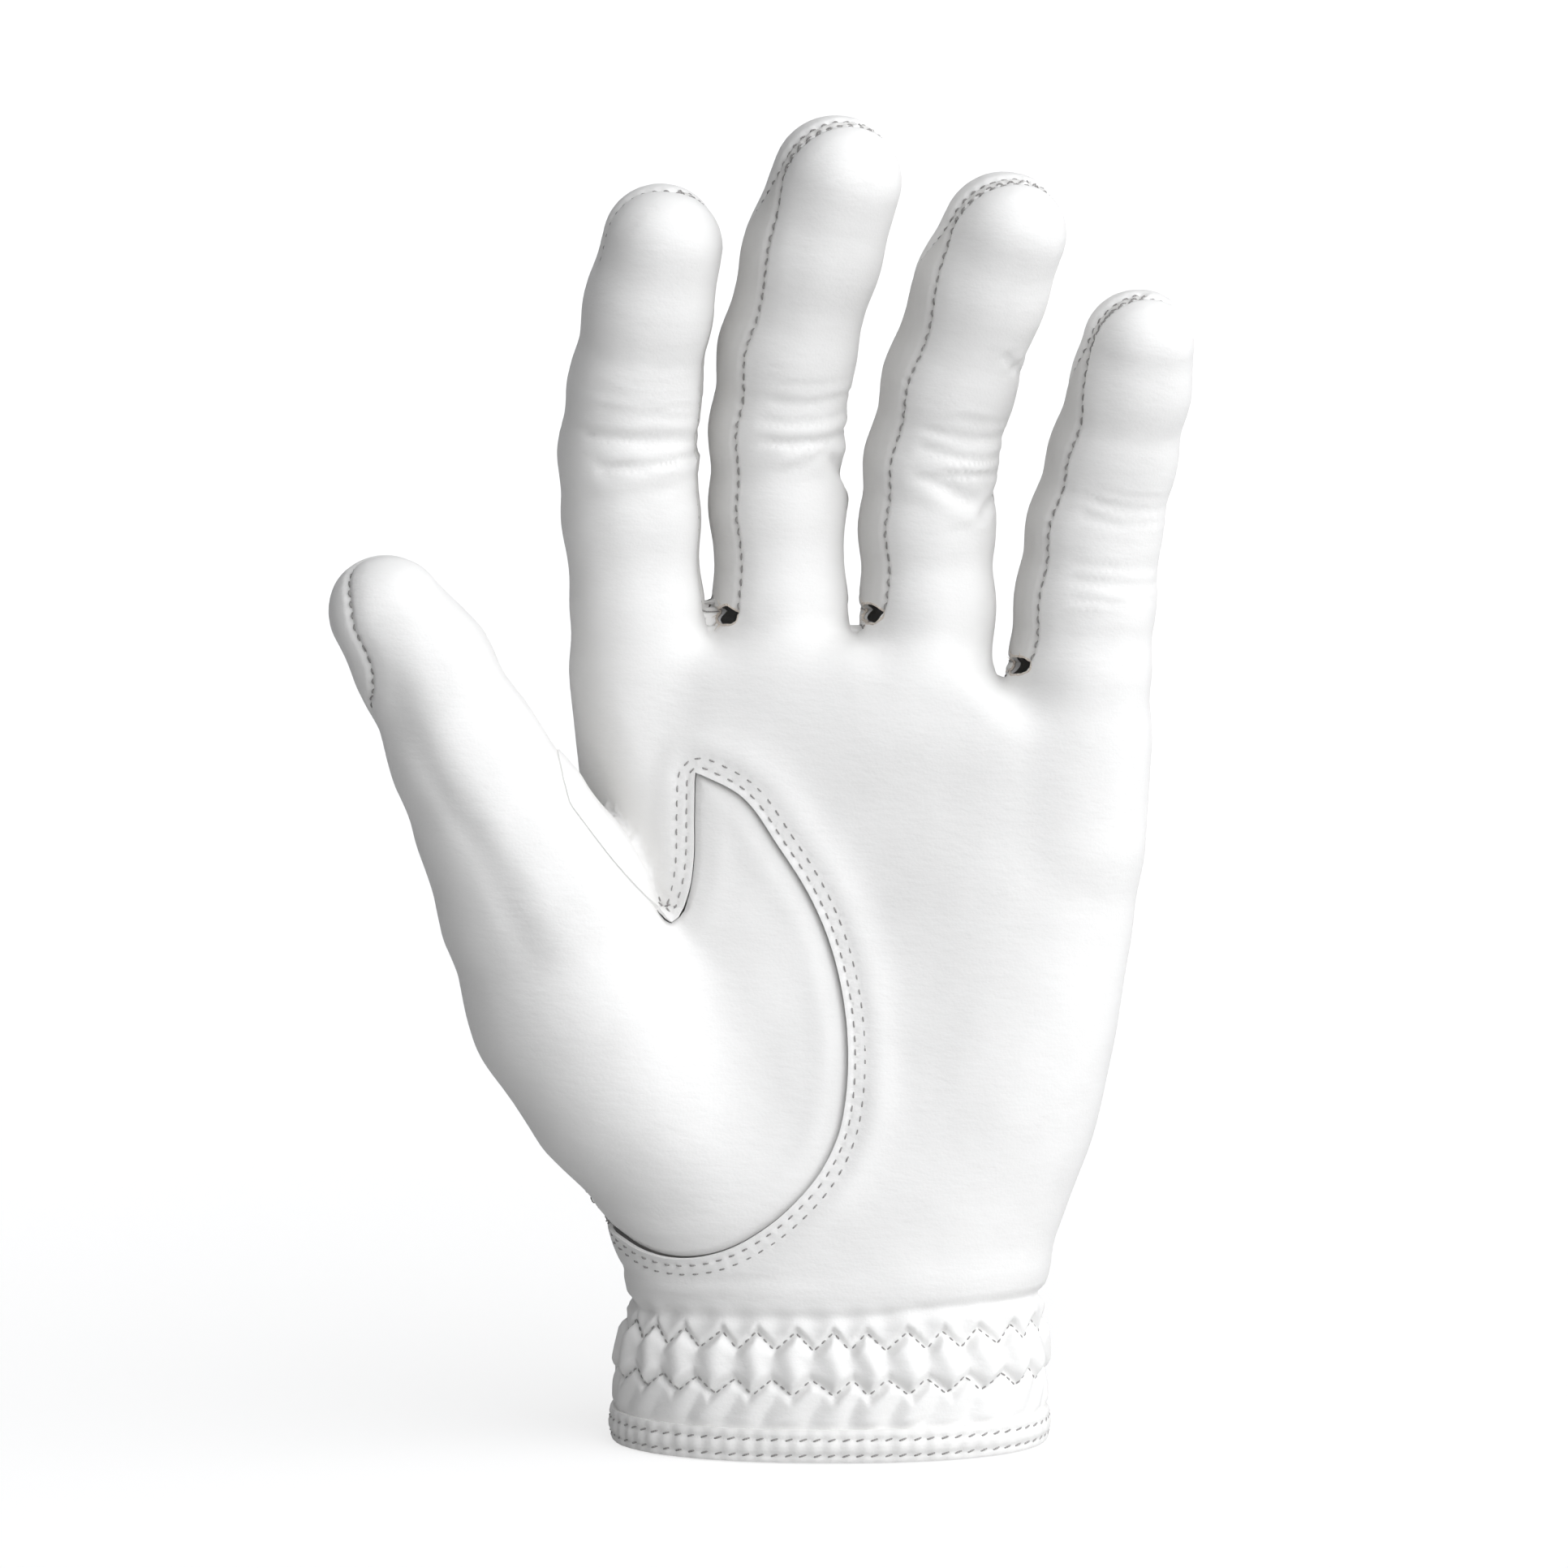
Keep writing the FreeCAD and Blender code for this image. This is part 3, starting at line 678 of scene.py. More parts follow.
def make_surface():
    verts, tris = surface_nets(glove_distance, (-85, -42, -6), (62, 26, 224), 1.25)
    verts = relax(project(verts, 2), tris, 4)
    labels = np.zeros(len(tris), int)

    def cut(field, take, give):
        nonlocal verts, tris, labels
        verts, tris, labels = cut_by(verts, tris, labels, field, take, give)

    def discard():
        nonlocal verts, tris, labels
        tris, labels = tris[labels != WASTE], labels[labels != WASTE]
        verts, tris = drop_unused(verts, tris)

    cut(lambda p: p[:, 2], PALM, WASTE)
    cut(slit_field, PALM, WASTE)
    discard()
    cut(lambda p: p[:, 2] - HEM_TOP, PALM, HEM)
    cut(thumb_field, PALM, THUMB_FRONT)
    cut(thumb_back_field, THUMB_FRONT, THUMB_BACK)
    for label, pair in GUSSETS.items():
        cut(gusset_field(*pair), PALM, label)
    for (pair, place), label in zip(CROTCHES.items(), GUSSETS):
        for take in (PALM, label):
            cut(crotch_field(*place), take, WASTE)
    discard()
    cut(back_field, PALM, BACK)
    for take in (PALM, BACK, *GUSSETS):
        cut(ring_field, take, take + BENDING)
    for take in (THUMB_FRONT, THUMB_BACK):
        cut(thumb_ring_field, take, take + BENDING)
    return verts, tris, labels


def boundary_chains(verts, tris, labels, first, second, where=None):
    """Ordered lines of vertices where a panel labelled first meets one labelled second."""
    e = edges_of(tris)
    owner = np.tile(labels % BENDING, 3)
    order = np.lexsort((e[:, 1], e[:, 0]))
    e, owner = e[order], owner[order]
    same = (e[1:] == e[:-1]).all(1)
    pairs = np.flatnonzero(same)
    la, lb = owner[pairs], owner[pairs + 1]
    hit = (np.isin(la, first) & np.isin(lb, second)) | (np.isin(la, second) & np.isin(lb, first))
    edges = e[pairs[hit]]
    if where is not None and len(edges):
        edges = edges[where((verts[edges[:, 0]] + verts[edges[:, 1]]) / 2)]
    links = {}
    for a, b in edges.tolist():
        links.setdefault(a, []).append(b)
        links.setdefault(b, []).append(a)
    chains_out, used = [], set()
    starts = [v for v, n in links.items() if len(n) != 2] + list(links)
    for start in starts:
        for step in links[start]:
            if (min(start, step), max(start, step)) in used:
                continue
            line = [start]
            a, b = start, step
            while True:
                used.add((min(a, b), max(a, b)))
                line.append(b)
                nexts = [c for c in links[b] if (min(b, c), max(b, c)) not in used]
                if len(links[b]) != 2 or not nexts:
                    break
                a, b = b, nexts[0]
            chains_out.append(np.array(line))
    return [c for c in chains_out if len(c) > 4]


class SeamMap:
    """Distance from a set of seam lines, and the place along them."""

    def __init__(self, lines, spacing=0.35):
        points, places, ids = [], [], []
        for n, line in enumerate(lines):
            s = lengths_along(line)
            u = np.linspace(0, s[-1], max(2, int(s[-1] / spacing)))
            points.append(points_at(line, s, u))
            places.append(u)
            ids.append(np.full(len(u), n))
        self.lines = lines
        self.points = np.vstack(points) if points else np.zeros((1, 3)) + 1e6
        self.places = np.concatenate(places) if places else np.zeros(1)
        self.ids = np.concatenate(ids) if ids else np.zeros(1, int)
        self.tree = kdtree.KDTree(len(self.points))
        for i, q in enumerate(self.points):
            self.tree.insert(q, i)
        self.tree.balance()

    def __call__(self, p, reach=12.0):
        """Distance (at most reach) and place along the seam of every point."""
        lo, hi = self.points.min(0) - reach, self.points.max(0) + reach
        near = ((p > lo) & (p < hi)).all(1)
        dist, place = np.full(len(p), reach), np.zeros(len(p))
        find = self.tree.find
        for i in np.flatnonzero(near):
            _, j, d = find(p[i])
            if d < reach:
                dist[i] = d
                place[i] = self.places[j]
        return dist, place


def smooth_line(line, rounds=6):
    for _ in range(rounds):
        inner = (line[:-2] + line[2:]) / 2
        line = np.vstack([line[:1], line[1:-1] * 0.5 + inner * 0.5, line[-1:]])
    return line


# Creases: finger, then place along from its middle joint and sideways at both ends, depth, width,
# and a ridge beside it (towards the tip if positive). The names of the digits are those above.
CREASES = {
    "index": [(2.4, 11, 2.6, -9, 0.55, 0.9, 0.5), (0.3, 12, -3.4, -7, 0.75, 1.2, -0.5),
              (6.2, 8, 6.8, -8, 0.2, 0.5, 0.5), (8.6, 10, 8.8, -3, 0.22, 0.5, 0.5),
              (10.6, 6, 11.2, -9, 0.15, 0.45, 0.4), (13.2, 7, 13.0, -4, 0.12, 0.4, 0.4),
              (-6.4, 11, -7.4, 1, 0.18, 0.6, -0.4), (23.0, 8, 23.5, -6, 0.1, 0.5, 0.4)],
    "middle": [(3.0, 11, 2.0, -6, 0.62, 1.0, 0.6), (0.2, 11.5, 0.4, -3, 0.55, 0.9, -0.5),
               (-1.4, 4, -8.0, 11, 0.8, 1.3, -0.6), (6.0, 9, 5.6, -7, 0.3, 0.6, 0.5),
               (9.6, 10, 9.2, -6, 0.26, 0.55, 0.5), (12.6, 7, 12.2, -6, 0.14, 0.45, 0.4),
               (15.6, 9, 15.2, 0, 0.12, 0.45, 0.4), (-4.2, -5, -1.8, 3, 0.3, 0.8, 0.4)],
    "ring": [(3.6, 11, 4.2, -6, 0.42, 0.8, 0.6), (1.0, 10, 0.6, -2, 0.62, 1.0, 0.6),
             (-0.8, -6, -5.0, 3, 0.75, 1.2, -0.6), (-2.4, 11, -7.6, 5, 0.6, 1.0, -0.5),
             (7.6, 8, 8.0, -6, 0.2, 0.5, 0.5), (10.4, 9, 10.6, -2, 0.18, 0.5, 0.4),
             (19.4, 9, 23.4, 3, 0.34, 0.6, 0.4), (23.8, 9.5, 20.0, 5, 0.26, 0.5, 0.4),
             (-10.6, -3, -8.6, 6, 0.2, 0.8, 0.4)],
    "little": [(-2.8, 9, -2.4, -6, 0.34, 0.7, 0.5), (-5.2, 9, -5.4, -6, 0.28, 0.6, -0.4),
               (-0.4, 8, 0.0, -6, 0.22, 0.5, 0.4), (9.4, 7, 9.6, -6, 0.26, 0.55, 0.5),
               (11.8, 8, 12.0, -5, 0.22, 0.5, 0.4), (14.4, 6, 14.2, -5, 0.14, 0.45, 0.4),
               (-7.6, 7, -7.6, -4, 0.16, 0.5, 0.4)],
}
JOINT_PLACE = {name: joint(name + "_flex")[0] for name in FINGERS}


def crease_depth(p):
    """Wrinkles across the palm side of the fingers, at their middle joints."""
    total = np.zeros(len(p))
    for name, strokes in CREASES.items():
        c = digit_coords(name, p)
        s_joint = digit_coords(name, JOINT_PLACE[name][None])["s"][0]
        s = c["s"] - s_joint
        mine = c["d"] < 2.0
        front = smoothstep(-0.25, 0.35, c["b"] / c["r"])
        wave = 0.5 * noise(np.stack([c["a"] * 0.22, s * 0.25, np.zeros(len(p)) + len(name)], 1))
        for s0, a0, s1, a1, depth, width, side in strokes:
            d = np.array([s1 - s0, a1 - a0])
            t = ((s - s0) * d[0] + (c["a"] - a0) * d[1]) / (d @ d)
            tc = np.clip(t, 0, 1)
            gap_s, gap_a = s + wave - s0 - tc * d[0], c["a"] - a0 - tc * d[1]
            dist = np.hypot(gap_s, gap_a)
            fade = 0.35 + 0.65 * np.sin(np.pi * np.clip(tc * 0.8 + 0.02, 0, 1)) ** 0.5
            ridge = np.exp(-((gap_s - 2.2 * width * np.sign(side)) / (1.5 * width)) ** 2) * bump(gap_a, 2.0)
            relief = -np.exp(-(dist / width) ** 2) * fade + abs(side) * ridge * fade * 0.9
            total += mine * front * depth * relief
        fine = noise(np.stack([c["a"] * 0.16, s * 1.15, np.zeros(len(p)) + 3.0 * len(name)], 1))
        total += mine * (0.4 + 0.6 * front) * 0.10 * fine * bump(s - 4, 12)
    return total


# A long soft fold down the front of the thumb, as (x, z).
THUMB_FOLD = [(-48.1, 82.3), (-52.3, 93.0), (-58.2, 103.1), (-66.0, 115.0), (-72.5, 132.8)]


def thumb_fold(p):
    xs, zs = np.array(THUMB_FOLD).T
    total = np.zeros(len(p))
    near = (p[:, 0] < -38) & (p[:, 2] > 72) & (p[:, 1] < 0)
    q = p[near]
    if not len(q):
        return total
    c = digit_coords("thumb", q)
    d = 0.86 * (q[:, 0] - spline(zs, xs, q[:, 2])) + 0.5 * noise(q / 6.0 + 2)
    along = (smoothstep(76, 90, q[:, 2]) * smoothstep(136, 126, q[:, 2])
             * smoothstep(0.0, 0.4, c["b"] / c["r"]))
    total[near] = along * (-0.45 * np.exp(-(d / 2.4) ** 2) + 0.32 * np.exp(-((d - 5.0) / 3.2) ** 2)
                           - 0.20 * np.exp(-((d + 4.5) / 3.5) ** 2))
    return total


WRIST_X, WRIST_HALF, WRIST_DEPTH = 0.6, 35.5, 21.5
wrist_angles = np.linspace(-np.pi, np.pi, 721)
wrist_speed = np.hypot(WRIST_HALF * np.cos(wrist_angles), WRIST_DEPTH * np.sin(wrist_angles))
wrist_places = np.r_[0, np.cumsum((wrist_speed[1:] + wrist_speed[:-1]) / 2 * np.diff(wrist_angles))]
wrist_places -= wrist_places[-1] / 2


def wrist_arc(p):
    """Place round the wrist in millimetres, from the middle of the palm side towards +X."""
    angle = np.arctan2((p[:, 0] - WRIST_X) / WRIST_HALF, -p[:, 1] / WRIST_DEPTH)
    return np.interp(angle, wrist_angles, wrist_places)


TOOTH = 6.3
ROWS = ((19.6, 1.45), (12.2, 1.35))    # height and half height of the two zigzag rows


def zigzag(u, centre, half, phase=0.0):
    """Height of a zigzag row at the place u round the wrist."""
    t = (u / TOOTH + phase) % 1.0
    return centre + half * (4 * np.abs(t - 0.5) - 1)


def cuff_shape(p):
    u, z = wrist_arc(p), p[:, 2]
    on_front = smoothstep(54, 47, np.abs(u - 1))
    wobble = 0.5 * noise(np.stack([u * 0.21, z * 0.2, np.zeros(len(p)) + 9], 1))
    uu = u + wobble
    upper = zigzag(uu, *ROWS[0])
    lower = zigzag(uu, *ROWS[1], phase=0.5)
    total = -0.55 * np.exp(-((z - upper) / 0.75) ** 2) - 0.55 * np.exp(-((z - lower) / 0.75) ** 2)
    cell = np.cos(2 * np.pi * uu / TOOTH)
    between = smoothstep(0, 2.2, z - lower) * smoothstep(0, 2.2, upper - z)
    total += between * (0.75 + 0.35 * np.cos(2 * np.pi * (uu + 0.4 * (z - 16)) / TOOTH))
    # slanting folds below the lower row, and small puckers above the upper row
    lean = uu - 0.55 * (z - HEM_TOP) + 1.5
    strength = 0.65 + 0.5 * noise(np.stack([uu / TOOTH + 0.3, np.zeros(len(p)), np.zeros(len(p)) + 2], 1))
    below = smoothstep(HEM_TOP - 0.4, HEM_TOP + 1.6, z) * smoothstep(0.2, 2.0, lower - z)
    total += below * strength * (0.95 * np.abs(np.cos(np.pi * lean / TOOTH)) ** 1.4 - 0.15)
    above = smoothstep(0.2, 1.6, z - upper) * smoothstep(26.5, 22.0, z)
    total += above * (0.25 + 0.22 * cell)
    total *= on_front
    fold_z = 23.6 + 0.9 * np.sin(u / 17.0) + 0.4 * noise(np.stack([u * 0.12, u * 0, u * 0 + 4], 1))
    sides = 0.55 + 0.45 * smoothstep(20, 44, np.abs(u))
    crease = -1.25 * np.exp(-((z - fold_z) / 1.1) ** 2) + 0.65 * np.exp(-((z - fold_z - 4.4) / 3.2) ** 2)
    second = -0.4 * np.exp(-((z - fold_z - 6.6 - 0.02 * u) / 1.1) ** 2) * smoothstep(12, -26, u)
    front_or_side = smoothstep(86, 66, np.abs(u))
    return total + (crease * sides + second) * front_or_side


def hem_shape(p):
    u, z = wrist_arc(p), p[:, 2]
    roll = 0.85 * np.sqrt(np.clip(1 - ((z - HEM_TOP / 2) / (HEM_TOP / 2 + 0.25)) ** 2, 0, 1))
    channel = sum(-0.34 * np.exp(-((z - row) / 0.42) ** 2) for row in HEM_ROWS)
    pucker = 0.10 * np.cos(2 * np.pi * u / 2.6) + 0.16 * noise(np.stack([u * 0.35, z * 0.3, u * 0 + 1], 1))
    return 0.25 + roll + channel + pucker * roll


HEM_ROWS = (1.2, 3.8)
LAP_ROWS = (1.2, 2.8)
STITCH = 2.3
SHIRR_Z, SHIRR_HALF = 92.5, 2.2


def shirring(p):
    """Gathers across the back of the hand, over the elastic sewn inside."""
    x, y, z = p.T
    here = smoothstep(5, 9, y) * smoothstep(-27, -22, x) * smoothstep(35, 30, x)
    phase = x / 2.9 + 0.35 * noise(np.stack([x * 0.2, z * 0.15, 0 * x + 6], 1))
    gather = 0.42 * np.cos(2 * np.pi * phase) * np.exp(-((z - SHIRR_Z) / 5.5) ** 4)
    rows = sum(-0.4 * np.exp(-((z - SHIRR_Z - side * SHIRR_HALF) / 0.7) ** 2) for side in (-1, 1))
    return here * (gather + rows + 0.35 * np.exp(-((z - SHIRR_Z) / 8) ** 2))


def displacement(p, base, seams):
    """How far the surface stands out from the form at points p of panels labelled base."""
    total = crease_depth(p) + thumb_fold(p) + shirring(p)
    big = noise(p / 19.0 + 3) * 0.26 + noise(p / 8.5 + 7) * 0.12 + noise(p / 4.2 + 1) * 0.05
    total += big * smoothstep(6, 20, p[:, 2]) * (1 - 0.4 * smoothstep(150, 170, p[:, 2]))
    cuff = p[:, 2] < 40
    hem = base == HEM
    here = cuff & ~hem
    total[here] += cuff_shape(p[here])
    if hem.any():
        total[hem] = hem_shape(p[hem])
    # inseams: both edges turn in, and the stitches pull them at an even pace
    d, s = seams["inseam"](p, 7.0)
    pull = 1 + 0.22 * np.cos(2 * np.pi * s / STITCH)
    total += np.where(d < 6.9, -0.58 * np.exp(-(d / 0.6) ** 2) * pull - 0.16 * np.exp(-(d / 1.8) ** 2)
                      + 0.10 * np.exp(-((d - 3.2) / 1.6) ** 2), 0)
    # laps: the palm panel lies over the thumb panel
    d, s = seams["lap"](p, 11.0)
    over = base == PALM
    under = base == THUMB_FRONT
    web = smoothstep(-25.5, -29.5, p[:, 0]) * smoothstep(75, 85, p[:, 2])
    raised = (0.62 - 0.5 * web) * smoothstep(10.5, 3.6, d)
    rows = sum(np.exp(-((d - row) / 0.42) ** 2) for row in LAP_ROWS)
    dimple = 0.75 + 0.35 * np.cos(2 * np.pi * s / STITCH)
    total += over * (raised - 0.24 * (1 - web) * rows * dimple + 0.20 * np.exp(-((d - 5.2) / 1.4) ** 2))
    total += under * (1 - 0.75 * web) * (-0.50 * np.exp(-(d / 0.8) ** 2) - 0.2 * np.exp(-(d / 2.2) ** 2)
                                         + 0.22 * np.exp(-((d - 4.2) / 1.8) ** 2))
    return total


def vertex_normals(verts, tris):
    n = np.cross(verts[tris[:, 1]] - verts[tris[:, 0]], verts[tris[:, 2]] - verts[tris[:, 0]])
    total = np.zeros((len(verts), 3))
    for k in range(3):
        np.add.at(total, tris[:, k], n)
    return total / np.maximum(np.linalg.norm(total, axis=1), 1e-12)[:, None]


# ------------------------------------------------------------------ Blender objects

def mesh_object(name, verts, faces, corner_normals=None, material=None):
    mesh = bpy.data.meshes.new(name)
    mesh.from_pydata((np.asarray(verts) * MM).tolist(), [], np.asarray(faces).tolist())
    mesh.polygons.foreach_set("use_smooth", np.ones(len(mesh.polygons), bool))
    if corner_normals is not None:
        mesh.normals_split_custom_set(corner_normals.reshape(-1, 3).tolist())
    mesh.update()
    obj = bpy.data.objects.new(name, mesh)
    bpy.context.scene.collection.objects.link(obj)
    if material:
        mesh.materials.append(material)
    return obj


def thick_panel(name, verts, tris, normals, skin_normals, thickness, material):
    """A closed leather piece: the outer skin, an inner skin, and a wall round the edge."""
    used = np.unique(tris)
    renumber = np.full(len(verts), -1)
    renumber[used] = np.arange(len(used))
    t = renumber[tris]
    outer = verts[used]
    inner = outer - normals[used] * thickness[used][:, None]
    n = len(used)
    e = np.vstack([t[:, [0, 1]], t[:, [1, 2]], t[:, [2, 0]]])
    code = e[:, 0].astype(np.int64) * n + e[:, 1]
    back = e[:, 1].astype(np.int64) * n + e[:, 0]
    rim = e[~np.isin(code, back)]
    walls = np.vstack([np.stack([rim[:, 1], rim[:, 0], rim[:, 0] + n], 1),
                       np.stack([rim[:, 1], rim[:, 0] + n, rim[:, 1] + n], 1)])
    all_verts = np.vstack([outer, inner])
    faces = np.vstack([t, t[:, ::-1] + n, walls])
    first, second, third = (all_verts[walls[:, k]] for k in range(3))
    wn = np.cross(second - first, third - first)
    wn /= np.maximum(np.linalg.norm(wn, axis=1), 1e-9)[:, None]
    skin = skin_normals[tris]
    corner = np.concatenate([skin, -skin[:, ::-1], np.repeat(wn[:, None], 3, axis=1)])
    return mesh_object(name, all_verts, faces, corner, material)


# ------------------------------------------------------------------ materials

def new_material(name, color, roughness, sheen=0.0, coat=0.0, specular=0.5):
    material = bpy.data.materials.new(name)
    material.use_nodes = True
    nodes, links = material.node_tree.nodes, material.node_tree.links
    shader = nodes["Principled BSDF"]
    shader.inputs["Base Color"].default_value = (*color, 1)
    shader.inputs["Roughness"].default_value = roughness
    shader.inputs["Sheen Weight"].default_value = sheen
    shader.inputs["Sheen Roughness"].default_value = 0.5
    shader.inputs["Coat Weight"].default_value = coat
    shader.inputs["Coat Roughness"].default_value = 0.45
    shader.inputs["Specular IOR Level"].default_value = specular
    return material, nodes, links, shader


def object_coords(nodes, links, scale):
    coords = nodes.new("ShaderNodeTexCoord")
    mapping = nodes.new("ShaderNodeMapping")
    mapping.inputs["Scale"].default_value = scale
    links.new(coords.outputs["Object"], mapping.inputs["Vector"])
    return mapping.outputs["Vector"]


def ramp(nodes, links, source, low, high, low_color, high_color):
    node = nodes.new("ShaderNodeValToRGB")
    node.color_ramp.elements[0].position = low
    node.color_ramp.elements[1].position = high
    node.color_ramp.elements[0].color = (*low_color, 1)
    node.color_ramp.elements[1].color = (*high_color, 1)
    links.new(source, node.inputs["Fac"])
    return node.outputs["Color"]


def add_bump(nodes, links, height, strength, distance, normal=None):
    node = nodes.new("ShaderNodeBump")
    node.inputs["Strength"].default_value = strength
    node.inputs["Distance"].default_value = distance
    links.new(height, node.inputs["Height"])
    if normal is not None:
        links.new(normal, node.inputs["Normal"])
    return node.outputs["Normal"]


def leather_material(name, tint=(0.86, 0.853, 0.838), grain=1.0, roughness=0.52):
    """White glove leather: fine pebbled pores, faint drawn lines, and a slight mottle in colour and gloss."""
    material, nodes, links, shader = new_material(name, tint, roughness, sheen=0.12, coat=0.06, specular=0.42)
    fine = object_coords(nodes, links, (2400, 2400, 2400))
    pores = nodes.new("ShaderNodeTexVoronoi")
    pores.feature = "SMOOTH_F1"
    pores.inputs["Scale"].default_value = 1.0
    links.new(fine, pores.inputs["Vector"])
    lines = nodes.new("ShaderNodeTexNoise")
    lines.inputs["Scale"].default_value = 1.0
    lines.inputs["Detail"].default_value = 4.0
    links.new(object_coords(nodes, links, (300, 300, 760)), lines.inputs["Vector"])
    mottle = nodes.new("ShaderNodeTexNoise")
    mottle.inputs["Scale"].default_value = 1.0
    mottle.inputs["Detail"].default_value = 3.0
    links.new(object_coords(nodes, links, (70, 70, 70)), mottle.inputs["Vector"])
    shade = tuple(c * 0.955 for c in tint)
    color = ramp(nodes, links, mottle.outputs["Fac"], 0.35, 0.68, shade, tint)
    links.new(color, shader.inputs["Base Color"])
    rough = nodes.new("ShaderNodeMapRange")
    rough.inputs["To Min"].default_value = roughness - 0.06
    rough.inputs["To Max"].default_value = roughness + 0.08
    links.new(mottle.outputs["Fac"], rough.inputs["Value"])
    links.new(rough.outputs["Result"], shader.inputs["Roughness"])
    normal = add_bump(nodes, links, pores.outputs["Distance"], 0.16 * grain, 0.00012)
    normal = add_bump(nodes, links, lines.outputs["Fac"], 0.30 * grain, 0.00035, normal)
    links.new(normal, shader.inputs["Normal"])
    return material


def thread_material(name, color):
    material, nodes, links, shader = new_material(name, color, 0.62, sheen=0.3)
    twist = nodes.new("ShaderNodeTexWave")
    twist.inputs["Scale"].default_value = 1.0
    twist.inputs["Distortion"].default_value = 1.5
    links.new(object_coords(nodes, links, (900, 900, 900)), twist.inputs["Vector"])
    # The grooves of the twist, where the bump is low, are painted darker: painted shade.
    shade = tuple(c * 0.8 for c in color)
    links.new(ramp(nodes, links, twist.outputs["Fac"], 0.2, 0.8, shade, color), shader.inputs["Base Color"])
    links.new(add_bump(nodes, links, twist.outputs["Fac"], 0.4, 0.0001), shader.inputs["Normal"])
    return material


def fabric_material(name, color, scale=(1300, 1300, 1300), strength=0.6, roughness=0.85):
    material, nodes, links, shader = new_material(name, color, roughness, sheen=0.35)
    knit = nodes.new("ShaderNodeTexVoronoi")
    knit.inputs["Scale"].default_value = 1.0
    links.new(object_coords(nodes, links, scale), knit.inputs["Vector"])
    shade = tuple(c * 0.82 for c in color)
    height = knit.outputs["Distance"]
    links.new(ramp(nodes, links, height, 0.1, 0.7, color, shade), shader.inputs["Base Color"])
    links.new(add_bump(nodes, links, height, strength, 0.0003), shader.inputs["Normal"])
    return material


white_leather = leather_material("white_glove_leather")
# The gussets are painted a darker grey than the rest of the leather: painted shade for the gaps between the
# fingers, where they lie in shadow.
gusset_leather = leather_material("gusset_leather", (0.70, 0.69, 0.672), 1.1, 0.56)
binding_leather = leather_material("binding_leather", (0.85, 0.842, 0.825), 1.0, 0.5)
# The seam thread is real, but its dark grey is painted shade: it stands for the shadow in the needle holes
# and grooves the stitches sit in.
seam_thread_painted_shade = thread_material("seam_thread_painted_shade", (0.36, 0.35, 0.34))
light_thread = thread_material("light_thread", (0.56, 0.55, 0.53))
raw_edge = fabric_material("raw_suede_edge", (0.74, 0.66, 0.58), (1500, 1500, 1500), 0.9)


# ------------------------------------------------------------------ the stretches round the joints

# How far the bending stretch reaches to both sides of a joint.
KNUCKLE_REACH, THUMB_REACH, FINGER_REACH, LITTLE_REACH = (15.0, 15.5), (11.2, 11.6), 12.4, 10.8


def knuckle_line():
    pivot, _ = joint("knuckle_flex")
    below, above = KNUCKLE_REACH
    return (pivot - below * KNUCKLE_UP) * MM, (pivot + above * KNUCKLE_UP) * MM


def finger_line(name):
    """Start and end of the stretch of a finger that bends at its middle joint."""
    pivot, _ = joint(name + "_flex")
    c = chains[name]
    i = int(np.argmin(np.linalg.norm(c.points - pivot, axis=1)))
    along = unit(c.points[i + 1] - c.points[i - 1])
    reach = LITTLE_REACH if name == "little" else FINGER_REACH
    return (pivot - reach * along) * MM, (pivot + reach * along) * MM


def thumb_line():
    below, above = THUMB_REACH
    return (THUMB_PIVOT - below * thumb_along()) * MM, (THUMB_PIVOT + above * thumb_along()) * MM


def attach(obj, zone):
    """zone is hand, a finger's name, or thumb. The stretch round that zone's joint is worked out but not
    used; the piece's transform is baked into its mesh.
    """
    if zone == "hand":
        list(map(tuple, knuckle_line()))
        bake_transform(obj)
    elif zone == "thumb":
        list(map(tuple, thumb_line()))
        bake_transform(obj)
    else:
        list(map(tuple, finger_line(zone)))
        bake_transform(obj)


# ------------------------------------------------------------------ the leather pieces

verts, tris, labels = make_surface()

FINEST, FINE, COARSE = ((0.7, 1.35, 2.4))


def needed_edge(p):
    """The longest edge allowed at a point: short where there is detail."""
    near_seam, _ = rough_seams(p, 5.0)
    front_cuff = (p[:, 2] < 27) & (p[:, 1] < 8)
    joint_zone = (p[:, 2] > 138) & (p[:, 2] < 190) & (p[:, 1] < 2)
    shirred = (np.abs(p[:, 2] - SHIRR_Z) < 7) & (p[:, 1] > 5) & (p[:, 0] > -26) & (p[:, 0] < 34)
    edge = np.where(shirred | (near_seam < 4.0) | joint_zone | (p[:, 2] < 31), FINE, COARSE)
    return np.where((near_seam < 1.5) | front_cuff, FINEST, edge)


def radial_fold(p):
    """Where palm and back are one piece of leather, folded round the thumb side of hand and index."""
    index = digit_coords("index", p)
    low = (p[:, 2] < 118) & (p[:, 0] < -20)
    return low | ((index["d"] < 3) & (index["a"] < 0) & (index["left"] > 5) & (p[:, 0] < -20))


def all_seams(verts, tris, labels):
    def lines(first, second, where=None):
        return [verts[c] for c in boundary_chains(verts, tris, labels, first, second, where)]

    gussets = list(GUSSETS)
    inseam = lines([PALM, BACK], gussets) + lines([THUMB_FRONT], [THUMB_BACK])
    inseam += lines([BACK], [THUMB_BACK, THUMB_FRONT])
    inseam += lines([PALM], [BACK], lambda p: ~radial_fold(p))
    inseam += lines([PALM], [THUMB_BACK])
    lap = lines([PALM], [THUMB_FRONT])
    return inseam, lap


